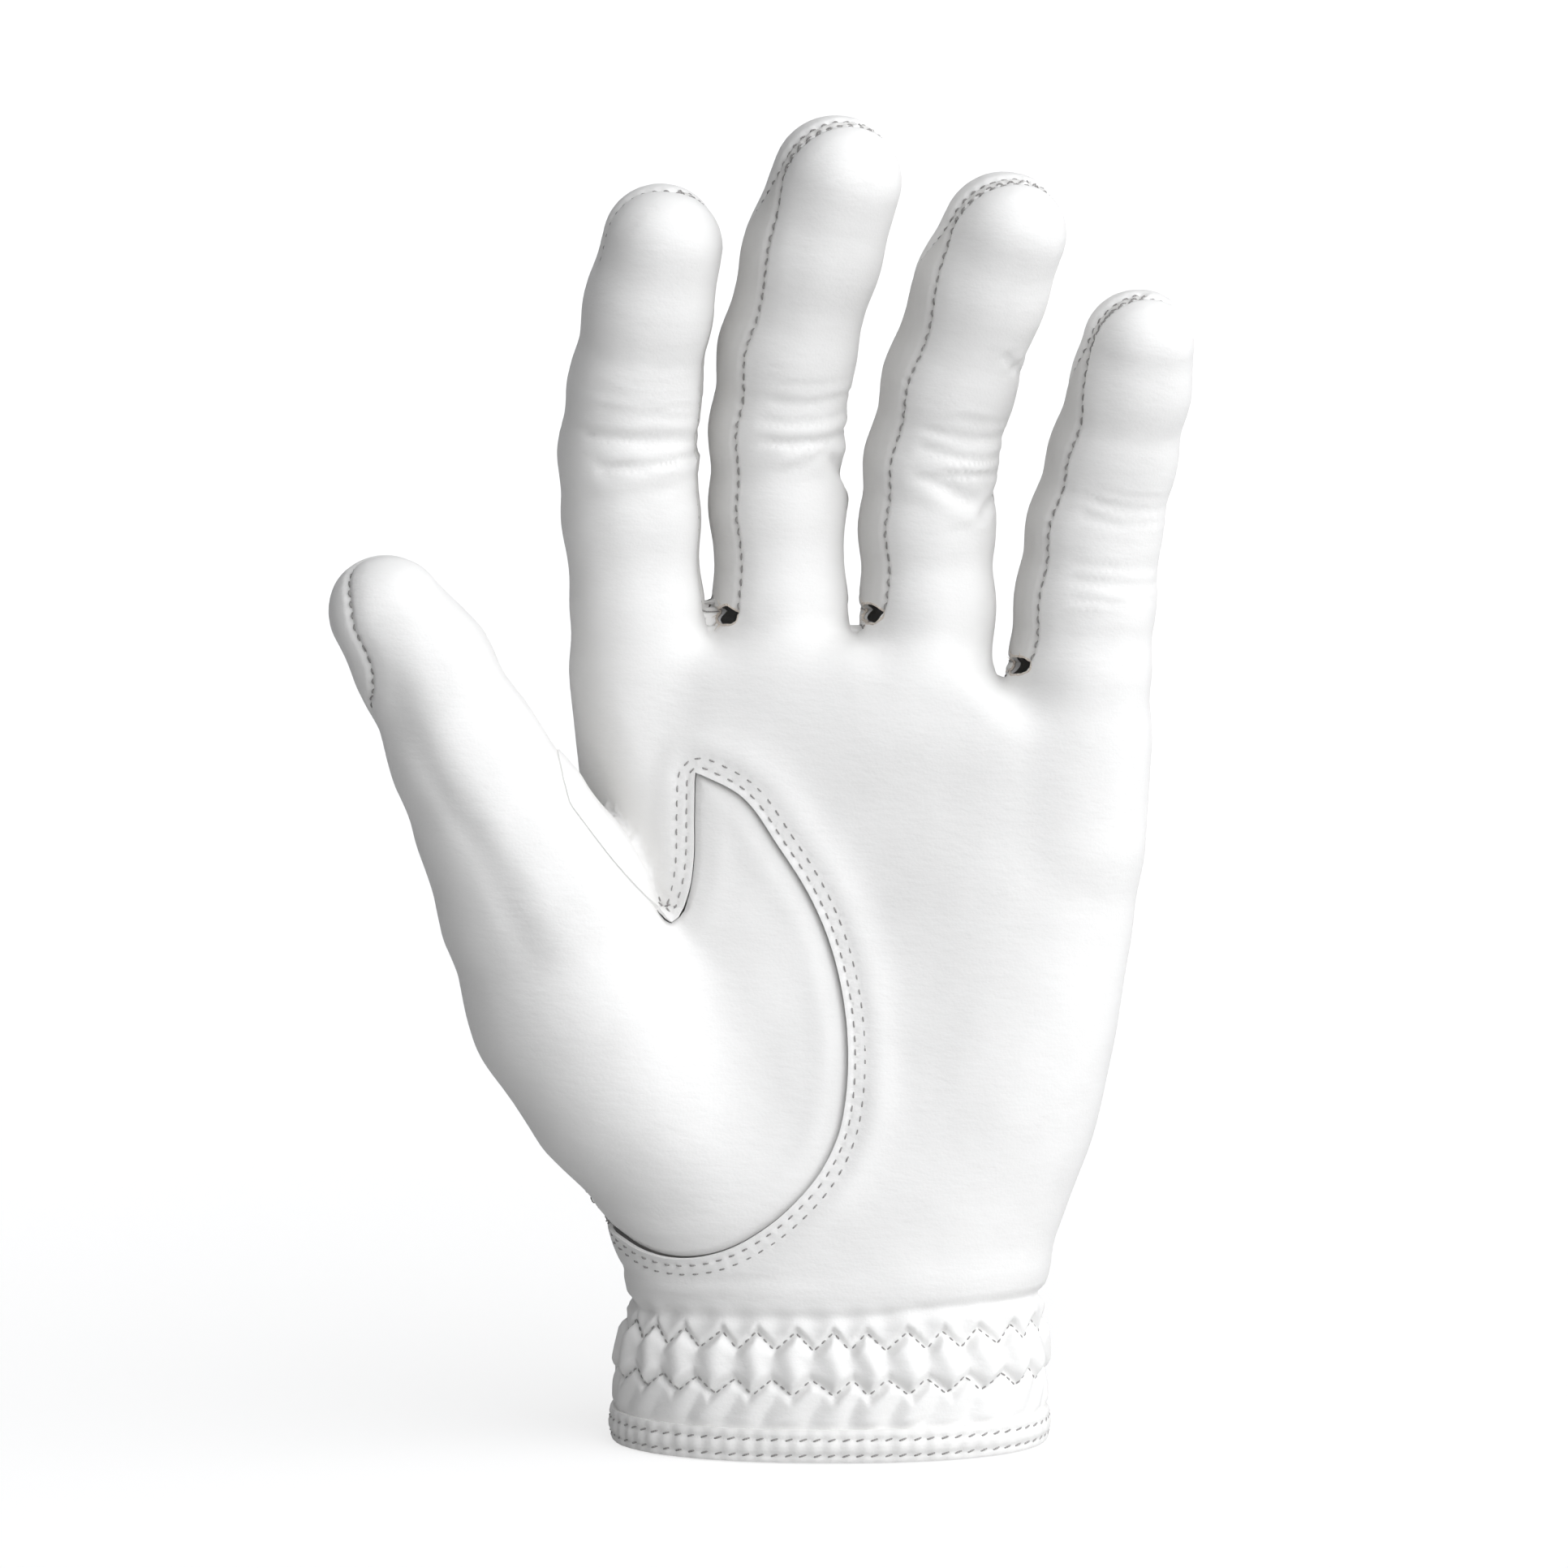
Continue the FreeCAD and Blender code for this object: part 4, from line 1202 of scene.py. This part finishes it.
inseam_lines, lap_lines = all_seams(verts, tris, labels)
rough_seams = SeamMap(inseam_lines + lap_lines, 0.8)
for _ in range(2):
    verts, tris, labels = refine(verts, tris, labels, needed_edge)
verts = project(verts, 2)
inseam_lines, lap_lines = all_seams(verts, tris, labels)
seams = {"inseam": SeamMap([smooth_line(line) for line in inseam_lines]),
         "lap": SeamMap([smooth_line(line) for line in lap_lines])}
base_normals = gradient(glove_distance, verts)
base_normals /= np.linalg.norm(base_normals, axis=1)[:, None]


# a vertex on a seam belongs to two panels, and moves with each of them on its own
base = labels % BENDING
split_key = tris * 10 + base[:, None]
fold_vertex = radial_fold(verts)
split_key = np.where(fold_vertex[tris] & (base == BACK)[:, None], tris * 10, split_key)
keys, inverse = np.unique(split_key.ravel(), return_inverse=True)
own = keys // 10
group = keys % 10
tris = inverse.reshape(-1, 3)
verts, base_normals = verts[own], base_normals[own]
offset = displacement(verts, group, seams)
shaped = verts + base_normals * offset[:, None]
shaped[:, 2] = np.where(group == HEM, np.maximum(shaped[:, 2], 0.02), shaped[:, 2])
shaped_normals = vertex_normals(shaped, tris)

inner_depth = np.full(len(shaped), LEATHER)
near, _ = seams["inseam"](verts, 3.0)
inner_depth += 0.5 * np.exp(-(near / 1.0) ** 2)

PANELS = {PALM: ("palm", white_leather, "hand_leather"), BACK: ("back", white_leather, "hand_leather"),
          THUMB_FRONT: ("thumb_front", white_leather, "thumb_leather"),
          THUMB_BACK: ("thumb_back", white_leather, "thumb_leather"),
          HEM: ("hem", binding_leather, "binding")}
for label, (left, right) in GUSSETS.items():
    PANELS[label] = (f"gusset_{left}_{right}", gusset_leather, "gusset_leather")

REPLACED = {
    ("palm", "hand"): ["palm_panel", "knuckle_crease", "finger_bases_front"],
    ("back", "hand"): ["back_panel", "finger_bases_back"],
    ("thumb_front", "hand"): ["thumb_panel"], ("thumb_back", "hand"): ["thumb_back"],
    ("thumb_front", "thumb"): ["thumb_tip_front", "thumb_crease"],
    ("thumb_back", "thumb"): ["thumb_tip_back"],
    ("hem", "hand"): ["hem_binding"],
}
for left, right in GUSSETS.values():
    gusset = f"gusset_{left}_{right}"
    REPLACED[gusset, "hand"] = [f"{left}_{right}_gusset"]
    REPLACED[gusset, left] = [f"{left}_gusset_outer"]
    REPLACED[gusset, right] = [f"{right}_gusset_inner"]
for finger in FINGERS:
    REPLACED["palm", finger] = [finger + "_front", finger + "_crease"]
    REPLACED["back", finger] = [finger + "_back"]

centres = verts[tris].mean(1)
zone = np.full(len(tris), -1)
bending = labels >= BENDING
finger_of = np.argmin(np.stack([chains[n].distance(centres) for n in FINGERS]), axis=0)
zone[bending] = finger_of[bending]
zone[bending & np.isin(base, (THUMB_FRONT, THUMB_BACK))] = 4
ZONES = {-1: "hand", 4: "thumb", **dict(enumerate(FINGERS))}
for label, (panel, material, slot) in PANELS.items():
    for z, zone_name in ZONES.items():
        mine = (base == label) & (zone == z)
        if mine.sum() < 4:
            continue
        name = f"{panel}.{zone_name}"
        obj = thick_panel(name, shaped, tris[mine], base_normals, shaped_normals, inner_depth, material)
        attach(obj, zone_name)
        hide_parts(*REPLACED[panel, zone_name])


# ------------------------------------------------------------------ threads

panel_tree = kdtree.KDTree(len(centres))
for i, centre in enumerate(centres):
    panel_tree.insert(centre, i)
panel_tree.balance()


def panel_at(p):
    """The panel and the zone of the leather nearest to each point of the form."""
    nearest = np.array([panel_tree.find(q)[1] for q in p])
    return base[nearest], zone[nearest]


def form_normals(p):
    n = gradient(glove_distance, p)
    return n / np.linalg.norm(n, axis=1)[:, None]


def resample(line, step):
    s = lengths_along(line)
    return points_at(line, s, np.linspace(0, s[-1], max(2, int(round(s[-1] / step)) + 1)))


def beside(line, distance, label):
    """The line moved over the form by a distance, to the side where the given panel is."""
    line = resample(line, 0.6)
    tangent = np.gradient(line, axis=0)
    side = np.cross(form_normals(line), tangent)
    side /= np.maximum(np.linalg.norm(side, axis=1), 1e-9)[:, None]
    options = [project(line + sign * distance * side, 2) for sign in (1, -1)]
    hits = [np.isin(panel_at(option)[0], label).sum() for option in options]
    return options[int(np.argmax(hits))]


def tube(path, radius, sides=6):
    """A closed tube along a path, with a radius at each point."""
    tangent = np.gradient(path, axis=0)
    tangent /= np.maximum(np.linalg.norm(tangent, axis=1), 1e-9)[:, None]
    ref = np.array([0.31, 0.87, 0.38])
    u = np.cross(tangent, ref)
    u /= np.linalg.norm(u, axis=1)[:, None]
    w = np.cross(tangent, u)
    angle = np.arange(sides) * 2 * np.pi / sides
    ring = np.cos(angle)[None, :, None] * u[:, None] + np.sin(angle)[None, :, None] * w[:, None]
    points = (path[:, None] + ring * np.asarray(radius)[:, None, None]).reshape(-1, 3)
    n = len(path)
    faces = []
    for i in range(n - 1):
        for j in range(sides):
            a, b = i * sides + j, i * sides + (j + 1) % sides
            faces += [[a, a + sides, b], [b, a + sides, b + sides]]
    points = np.vstack([points, path[:1], path[-1:]])
    for j in range(sides):
        faces.append([n * sides, j, (j + 1) % sides])
        faces.append([n * sides + 1, (n - 1) * sides + (j + 1) % sides, (n - 1) * sides + j])
    return points, np.array(faces)


STITCH_TAPER = np.array([0.55, 0.95, 1, 1, 0.95, 0.55])


class Threads:
    """Collects dashes of thread and makes one object for each zone."""

    def __init__(self, name, material):
        self.name, self.material, self.zones = name, material, {}

    def add(self, zone_name, path, radius):
        points, faces = tube(path, radius)
        parts = self.zones.setdefault(zone_name, [[], [], 0])
        parts[0].append(points)
        parts[1].append(faces + parts[2])
        parts[2] += len(points)

    def row(self, line, label, pitch=STITCH, length=1.55, radius=0.17, lift=0.16, sink=0.22, skew=0.0):
        """Stitches along a line on the form, on the panel with the given label."""
        s = lengths_along(line)
        count = int(s[-1] / pitch)
        if count < 1:
            return
        t = np.linspace(0, 1, 6)
        starts = (np.arange(count) + 0.5) * s[-1] / count + rng.normal(0, 0.05, count)
        places = starts[:, None] + (t - 0.5) * length
        p = points_at(line, s, places.ravel())
        n = form_normals(p)
        across = np.cross(n, np.repeat(np.gradient(p.reshape(count, 6, 3), axis=1)[:, 2], 6, axis=0))
        across /= np.maximum(np.linalg.norm(across, axis=1), 1e-9)[:, None]
        p = p + across * (np.tile(t - 0.5, count) * skew)[:, None]
        height = displacement(p, np.full(len(p), label), seams)
        arch = np.tile(np.sin(np.pi * t) ** 0.6, count)
        outside = (p + n * (height - sink + (lift + sink) * arch)[:, None]).reshape(count, 6, 3)
        _, where = panel_at(p.reshape(count, 6, 3)[:, 3])
        for path, z in zip(outside, where):
            self.add(ZONES[int(z)], path, radius * STITCH_TAPER)

    def build(self):
        for zone_name, (points, faces, _) in self.zones.items():
            obj = mesh_object(f"{self.name}.{zone_name}", np.vstack(points), np.vstack(faces), None,
                              self.material)
            attach(obj, zone_name)


thread = Threads("seam_stitches", seam_thread_painted_shade)
for seam in seams["inseam"].lines:
    if len(seam) > 6:
        thread.row(resample(seam, 0.5), PALM, pitch=2.0, length=1.45, radius=0.13, lift=0.26)
for seam in seams["lap"].lines:
    if len(seam) > 6:
        for row in LAP_ROWS:
            line = beside(seam, row, (PALM,))
            web = (line[:, 0] < -28.5) & (line[:, 2] > 70)
            thread.row(line[~web], PALM, length=1.3, radius=0.15, lift=0.10)


def cuff_line(u, z):
    """Points of the form at places u round the wrist and heights z."""
    angle = np.interp(u, wrist_places, wrist_angles)
    p = np.stack([WRIST_X + WRIST_HALF * np.sin(angle), -WRIST_DEPTH * np.cos(angle), z + 0 * u], 1)
    n = form_normals(p)
    n[:, 2] = 0
    for _ in range(3):
        p = p - n * glove_distance(p)[:, None]
    return p


def across_back(x, z):
    """Points of the form on the back of the hand, at one height."""
    return project(np.stack([x, np.full(len(x), 16.0), np.full(len(x), z)], 1), 4)


half_way = wrist_places[-1]
slit_gap = SLIT_HALF + 4.4
for row in HEM_ROWS:
    u = np.linspace(-half_way + slit_gap - SLIT_X, half_way - slit_gap - SLIT_X, 400)
    thread.row(cuff_line(u, np.full(len(u), row)), HEM, length=1.5, lift=0.12, skew=0.5)

zigzag_thread = Threads("zigzag_stitches", seam_thread_painted_shade)
for (centre, half), phase in zip(ROWS, (0.0, 0.5)):
    corners = np.arange(-15, 16) * TOOTH / 2
    z = zigzag(corners, centre, half, phase)
    wobble = 0.5 * noise(np.stack([corners * 0.21, z * 0.2, np.zeros(len(z)) + 9], 1))
    for i in range(len(corners) - 1):
        u = np.linspace(corners[i] - wobble[i], corners[i + 1] - wobble[i + 1], 8)
        line = cuff_line(u, np.linspace(z[i], z[i + 1], 8))
        zigzag_thread.row(line, PALM, pitch=1.4, length=1.0, radius=0.15, lift=0.14)
for side in (-1, 1):
    line = across_back(np.linspace(-23, 31, 60), SHIRR_Z + side * SHIRR_HALF)
    zigzag_thread.row(line, BACK, pitch=1.9, length=1.3, radius=0.15, lift=0.12)
thread.build()
zigzag_thread.build()


# ------------------------------------------------------------------ the slots between the fingers

def crotch_edges():
    """The raw torn edge of each slot, and a few loose fibres of suede at its lower side."""
    edges = Threads("slot_edges", raw_edge)
    for x, z in CROTCHES.values():
        field = crotch_field(x, z)
        angle = np.linspace(0, 2 * np.pi, 49)[:-1]
        direction = np.stack([np.cos(angle), 0 * angle, np.sin(angle)], 1)
        low, high = np.full(len(angle), 0.1), np.full(len(angle), 4.0)
        start = np.array([x, -14.0, z])

        def on_front(r):
            p = start + direction * r[:, None]
            for _ in range(30):
                p[:, 1] += np.clip(glove_distance(p), -1, 2) * 0.9
            return p

        for _ in range(14):
            middle = (low + high) / 2
            inside = field(on_front(middle)) < 0
            low, high = np.where(inside, middle, low), np.where(inside, high, middle)
        rim = on_front(high)
        n = form_normals(rim)
        rim = rim + n * (displacement(rim, np.zeros(len(rim), int), seams)[:, None] - 0.12)
        path = np.vstack([rim, rim[:2]])
        edges.add("hand", path, 0.19 + 0.09 * rng.random(len(path)))
        for _ in range(26):
            k = rng.integers(0, len(rim))
            if direction[k, 2] > 0.3 and rng.random() < 0.7:
                continue
            t = np.linspace(0, 1, 5)[:, None]
            lean = rng.normal(0, 0.35, 3)
            away = direction[k] * rng.uniform(0.7, 1.5) + n[k] * rng.uniform(0.1, 0.5) + lean
            curl = n[k] * 0.5
            edges.add("hand", rim[k] + away * t - curl * t**2, 0.09 * (1.2 - t[:, 0]))
    edges.build()


crotch_edges()


# ------------------------------------------------------------------ the closure on the back

def on_back(x, z):
    """Points of the form on the back of the hand, and their normals."""
    p = np.stack([x, np.full(len(x), 40.0), z], 1)
    for _ in range(40):
        p[:, 1] -= np.clip(glove_distance(p), -1, 8) * 0.9
    return p, form_normals(p)


def back_sheet(name, x0, x1, z0, z1, low, high, material, round_end=False, edge=0.7, waves=0.0):
    """A sheet lying over the back of the wrist, with rounded edges all round; low and high are heights
    above the form, and the +X end can be a half circle."""
    half = (z1 - z0) / 2
    inset = np.array([0, 0.06, 0.25, 0.6, 1.1])
    v = np.r_[inset, np.linspace(1.8, 2 * half - 1.8, 22), 2 * half - inset[::-1]] / half - 1
    span = x1 - x0
    u = np.r_[inset, np.linspace(1.8, span - 1.8, 40), span - inset[::-1]] / span
    if round_end:
        straight = (span - half) / span
        arc = 1 - np.cos(np.linspace(0, np.pi / 2, 22))
        u = np.r_[inset / span, np.linspace(1.8 / span, straight, 26)[:-1],
                  straight + (1 - straight) * (1 - arc[::-1]) * 0.9995]
    uu, vv = np.meshgrid(u, v, indexing="ij")
    x = x0 + uu * span
    tall = np.full(x.shape, half)
    if round_end:
        over = np.clip(x - (x1 - half), 0, half * 0.9999)
        tall = np.sqrt(np.maximum(half**2 - over**2, 0.0004))
    z = (z0 + z1) / 2 + vv * tall
    from_edge = np.minimum(x - x0, (1 - np.abs(vv)) * tall)
    from_edge = np.minimum(from_edge, x1 - x if not round_end else 1e9)
    if round_end:
        beyond = half - np.hypot(np.clip(x - (x1 - half), 0, None), z - (z0 + z1) / 2)
        from_edge = np.where(x > x1 - half, np.minimum(from_edge, beyond), from_edge)
    from_edge = np.clip(from_edge, 0, None)
    q = np.sqrt(np.clip(1 - (1 - np.clip(from_edge / edge, 0, 1)) ** 2, 0, 1))
    p, n = on_back(x.ravel(), z.ravel())
    bottom, top = low(p), high(p)
    middle = (bottom + top) / 2
    q = q.ravel()
    swell = waves * noise(p / 5.0 + 20)
    upper = p + n * (middle + (top - middle) * q + swell * q)[:, None]
    lower = p + n * (middle - (middle - bottom) * q)[:, None]
    a, b = x.shape
    index = np.arange(a * b).reshape(a, b)
    lower_index = index + a * b
    rim = np.zeros((a, b), bool)
    rim[[0, -1]] = rim[:, [0, -1]] = True
    lower_index = np.where(rim, index, lower_index)
    quads = []
    for grid, flip in ((index, False), (lower_index, True)):
        quad = np.stack([grid[:-1, :-1], grid[:-1, 1:], grid[1:, 1:], grid[1:, :-1]], -1).reshape(-1, 4)
        quads.append(quad[:, ::-1] if flip else quad)
    points = np.vstack([upper, lower])
    faces = np.vstack(quads)
    points, faces = drop_unused(points, faces)
    return mesh_object(name, points, faces, None, material)


def back_skin(p):
    return displacement(p, np.ones(len(p), int), seams)


def flat(height):
    return lambda p: np.full(len(p), height)


white_hook = fabric_material("hook_plastic", (0.72, 0.73, 0.74), (900, 900, 900), 1.0, 0.6)
white_loop = fabric_material("loop_pile", (0.70, 0.71, 0.72), (1100, 1100, 1100), 1.0, 0.95)
lining_cloth = fabric_material("tab_lining_cloth", (0.74, 0.74, 0.73), (1500, 1500, 1500), 0.5)
elastic_cloth = fabric_material("woven_elastic", (0.62, 0.62, 0.61), (1000, 1000, 2600), 0.8)

TAB = dict(x0=-20.4, x1=27.0, z0=10.0, z1=37.0)
tab = back_sheet("closure_tab_leather", low=flat(3.12), high=flat(4.15), material=white_leather,
                 round_end=True, waves=0.25, **TAB)
lining = back_sheet("tab_lining_cloth", -19.0, 26.0, 11.0, 36.0, flat(2.6), flat(3.15), lining_cloth,
                    round_end=True, edge=0.3)
hook = back_sheet("hook_patch", 9.0, 22.0, 14.0, 33.0, flat(1.75), flat(2.62), white_hook, edge=0.3)
anchor = back_sheet("tab_anchor_leather", -28.3, -21.2, 10.0, 37.0, back_skin, flat(3.4), white_leather,
                    edge=1.2)
loop = back_sheet("loop_patch", 9.0, 27.0, 14.0, 33.0, back_skin, lambda p: back_skin(p) + 0.8, white_loop,
                  edge=0.4)
for obj, body, slot, nodes in ((tab, "closure_tab", "tab_leather", ["closure_tab"]),
                               (lining, "closure_tab", "lining", ["tab_lining"]),
                               (hook, "closure_tab", "hook", ["hook_pad"]),
                               (anchor, "hand", "tab_leather", ["tab_anchor"]),
                               (loop, "hand", "loop", ["loop_pad"])):
    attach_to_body(obj, body)
    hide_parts(*nodes)


def slit_path(offset, step=0.8):
    """The edge of the wrist slit, from the hem up one side and down the other, moved outwards."""
    z = np.arange(HEM_TOP + 0.3, SLIT_TOP, step)
    half = slit_half(z)
    end = half[-1]
    arc = np.linspace(np.pi, 0, 18)[1:-1]
    x = np.r_[-(half + offset), (end + offset) * np.cos(arc), (half + offset)[::-1]] + SLIT_X
    height = np.r_[z, SLIT_TOP + (end + offset) * np.sin(arc), z[::-1]]
    return x, height


def slit_edging():
    """A folded strip of leather sewn round the slit."""
    rings = []
    profile = [(-0.35, -0.85), (-0.55, -0.3), (-0.5, 0.35), (-0.1, 0.85), (0.6, 1.0), (1.6, 0.95),
               (2.5, 0.85), (3.0, 0.6), (3.15, 0.2), (3.1, -0.2), (1.5, -0.25), (0.3, -0.85)]
    for offset, height in profile:
        x, z = slit_path(offset)
        p, n = on_back(x, z)
        rings.append(p + n * (back_skin(p) * 0.6 + height)[:, None])
    points = np.stack(rings, 1)
    a, b = points.shape[:2]
    index = np.arange(a * b).reshape(a, b)
    wrap = np.roll(index, -1, axis=1)
    quads = np.stack([index[:-1], index[1:], wrap[1:], wrap[:-1]], -1).reshape(-1, 4)
    faces = quads.tolist() + [index[0].tolist(), index[-1][::-1].tolist()]
    mesh = bpy.data.meshes.new("slit_edging")
    mesh.from_pydata((points.reshape(-1, 3) * MM).tolist(), [], faces)
    mesh.polygons.foreach_set("use_smooth", [True] * (len(faces) - 2) + [False] * 2)
    mesh.materials.append(binding_leather)
    obj = bpy.data.objects.new("slit_edging", mesh)
    bpy.context.scene.collection.objects.link(obj)
    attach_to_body(obj, "hand")
    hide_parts("slit_binding")


slit_edging()


def straight_stitches(name, body, lines, height, pitch=2.3, length=1.4, radius=0.15):
    """Thread along lines of (x, z) on the back of the wrist, at a height above the form."""
    points, faces, total = [], [], 0
    for x, z in lines:
        s = np.r_[0, np.cumsum(np.hypot(np.diff(x), np.diff(z)))]
        count = int(s[-1] / pitch)
        t = np.linspace(0, 1, 6)
        places = ((np.arange(count) + 0.5) * s[-1] / count)[:, None] + (t - 0.5) * length
        p, n = on_back(np.interp(places.ravel(), s, x), np.interp(places.ravel(), s, z))
        arch = np.tile(np.sin(np.pi * t) ** 0.6, count)
        p = p + n * (height(p) - 0.2 + 0.32 * arch)[:, None]
        for path in p.reshape(count, 6, 3):
            v, f = tube(path, radius * STITCH_TAPER)
            points.append(v)
            faces.append(f + total)
            total += len(v)
    obj = mesh_object(name, np.vstack(points), np.vstack(faces), None, light_thread)
    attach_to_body(obj, body)


def tab_outline(inset):
    half = (TAB["z1"] - TAB["z0"]) / 2
    zc = (TAB["z0"] + TAB["z1"]) / 2
    start, turn = TAB["x0"] + 1.6, TAB["x1"] - half
    angle = np.linspace(-np.pi / 2, np.pi / 2, 60)
    x = np.r_[start, turn + (half - inset) * np.cos(angle), start]
    z = zc + np.r_[-(half - inset), (half - inset) * np.sin(angle), half - inset]
    return x, z


square_x = np.array([9.8, 21.2, 21.2, 9.8, 9.8])
square_z = np.array([14.8, 14.8, 32.2, 32.2, 14.8])
straight_stitches("tab_stitches", "closure_tab", [tab_outline(1.8), (square_x, square_z)], flat(4.15))
anchor_rows = [(np.full(2, -22.6), np.array([11.0, 36.0])), (np.full(2, -27.2), np.array([11.5, 35.5]))]
straight_stitches("anchor_stitches", "hand", anchor_rows, flat(3.4))
loop_x = np.array([9.7, 26.3, 26.3, 9.7, 9.7])
loop_z = np.array([14.7, 14.7, 32.3, 32.3, 14.7])
straight_stitches("loop_stitches", "hand", [(loop_x, loop_z)], lambda p: back_skin(p) + 0.72)
straight_stitches("slit_stitches", "hand", [slit_path(2.4)], lambda p: back_skin(p) * 0.6 + 0.82)


def elastic_band(name, node, points, label, width):
    """A flat band on the inside of the leather; points runs round it for each of its edges."""
    rings = []
    for side, depth in ((-1, 0.95), (-1, 1.45), (1, 1.45), (1, 0.95)):
        p = points(side * width / 2)
        rings.append(p - form_normals(p) * (depth - displacement(p, np.full(len(p), label), seams))[:, None])
    skin = np.stack(rings, 1)
    count = len(skin)
    index = np.arange(count * 4).reshape(count, 4)
    wrap = np.roll(index, -1, axis=1)
    quads = np.stack([index[:-1], index[1:], wrap[1:], wrap[:-1]], -1).reshape(-1, 4)
    faces = np.vstack([quads, index[0][::-1], index[-1]])
    obj = mesh_object(name, skin.reshape(-1, 3), faces, None, elastic_cloth)
    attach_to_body(obj, "hand")
    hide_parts(node)


band_u = np.linspace(-50, 50, 260)
for place, height in (("upper", 17.5), ("lower", 8.5)):
    elastic_band(place + "_elastic", place + "_wrist_elastic",
                 lambda dz, h=height: cuff_line(band_u, np.full(len(band_u), h + dz)), PALM, 5.0)
band_x = np.linspace(-23.5, 31.5, 120)
elastic_band("back_elastic", "knuckle_elastic",
             lambda dz: across_back(band_x, SHIRR_Z + dz), BACK, 5.0)


# ------------------------------------------------------------------ stage

def backdrop_share(nodes, links, lit, seen):
    """A number for the backdrop that differs between what it gives as light and what is seen of it."""
    mix = nodes.new("ShaderNodeMix")
    mix.data_type = "FLOAT"
    links.new(nodes.new("ShaderNodeLightPath").outputs["Is Camera Ray"], mix.inputs["Factor"])
    if lit is not None:
        mix.inputs["A"].default_value = lit
    mix.inputs["B"].default_value = seen
    return mix


LENS, SENSOR, VIEW_WIDTH = 135, 36, 0.26    # the last is the width seen at the glove, in metres


def stage_and_camera():
    bpy.context.scene.view_settings.view_transform = "Standard"
    world = bpy.data.worlds.new("studio")
    bpy.context.scene.world = world
    world.use_nodes = True
    nodes, links = world.node_tree.nodes, world.node_tree.links
    background = nodes["Background"]
    background.inputs["Color"].default_value = (0.97, 0.98, 1.0, 1)
    # a broad soft light from the right and front, fading to dark on the left
    toward = nodes.new("ShaderNodeVectorMath")
    toward.operation = "DOT_PRODUCT"
    toward.inputs[1].default_value = Vector((0.71, -0.63, 0.28)).normalized()
    links.new(nodes.new("ShaderNodeTexCoord").outputs["Generated"], toward.inputs[0])
    fade = nodes.new("ShaderNodeMapRange")
    fade.interpolation_type = "SMOOTHSTEP"
    fade.inputs["From Min"].default_value, fade.inputs["From Max"].default_value = 0.2, 1.0
    fade.inputs["To Min"].default_value, fade.inputs["To Max"].default_value = 0.04, 2.75
    links.new(toward.outputs["Value"], fade.inputs["Value"])
    seen = backdrop_share(nodes, links, None, 1.0)
    links.new(fade.outputs["Result"], seen.inputs["A"])
    links.new(seen.outputs["Result"], background.inputs["Strength"])
    # a floor that curves up into a wall behind the glove
    profile = [(-3.0, 0.0), (1.0, 0.0)] + [(1.0 + 0.6 * math.sin(a), 0.6 - 0.6 * math.cos(a))
                                           for a in np.linspace(0.1, math.pi / 2, 12)] + [(1.6, 3.0)]
    points = [(x, y, z - 0.0002) for y, z in profile for x in (-3.0, 3.0)]
    quads = [(2 * i, 2 * i + 1, 2 * i + 3, 2 * i + 2) for i in range(len(profile) - 1)]
    mesh = bpy.data.meshes.new("floor")
    mesh.from_pydata(points, [], quads)
    mesh.polygons.foreach_set("use_smooth", np.ones(len(quads), bool))
    floor = bpy.data.objects.new("floor", mesh)
    bpy.context.scene.collection.objects.link(floor)
    material, nodes, links, shader = new_material("pale_floor", (0.33, 0.33, 0.33), 0.95)
    shader.inputs["Emission Color"].default_value = (1, 1, 1, 1)
    glow = backdrop_share(nodes, links, 0.15, 0.72)
    links.new(glow.outputs["Result"], shader.inputs["Emission Strength"])
    mesh.materials.append(material)

    camera = bpy.data.cameras.new("camera")
    camera.lens, camera.sensor_width = LENS, SENSOR
    obj = bpy.data.objects.new("camera", camera)
    bpy.context.scene.collection.objects.link(obj)
    distance = VIEW_WIDTH / SENSOR * LENS
    tilt = math.radians(5)
    target = Vector((-0.0071, 0, 0.1094))
    obj.location = target + Vector((0, -math.cos(tilt), math.sin(tilt))) * distance
    obj.rotation_euler = (target - obj.location).to_track_quat("-Z", "Y").to_euler()
    bpy.context.scene.camera = obj


stage_and_camera()
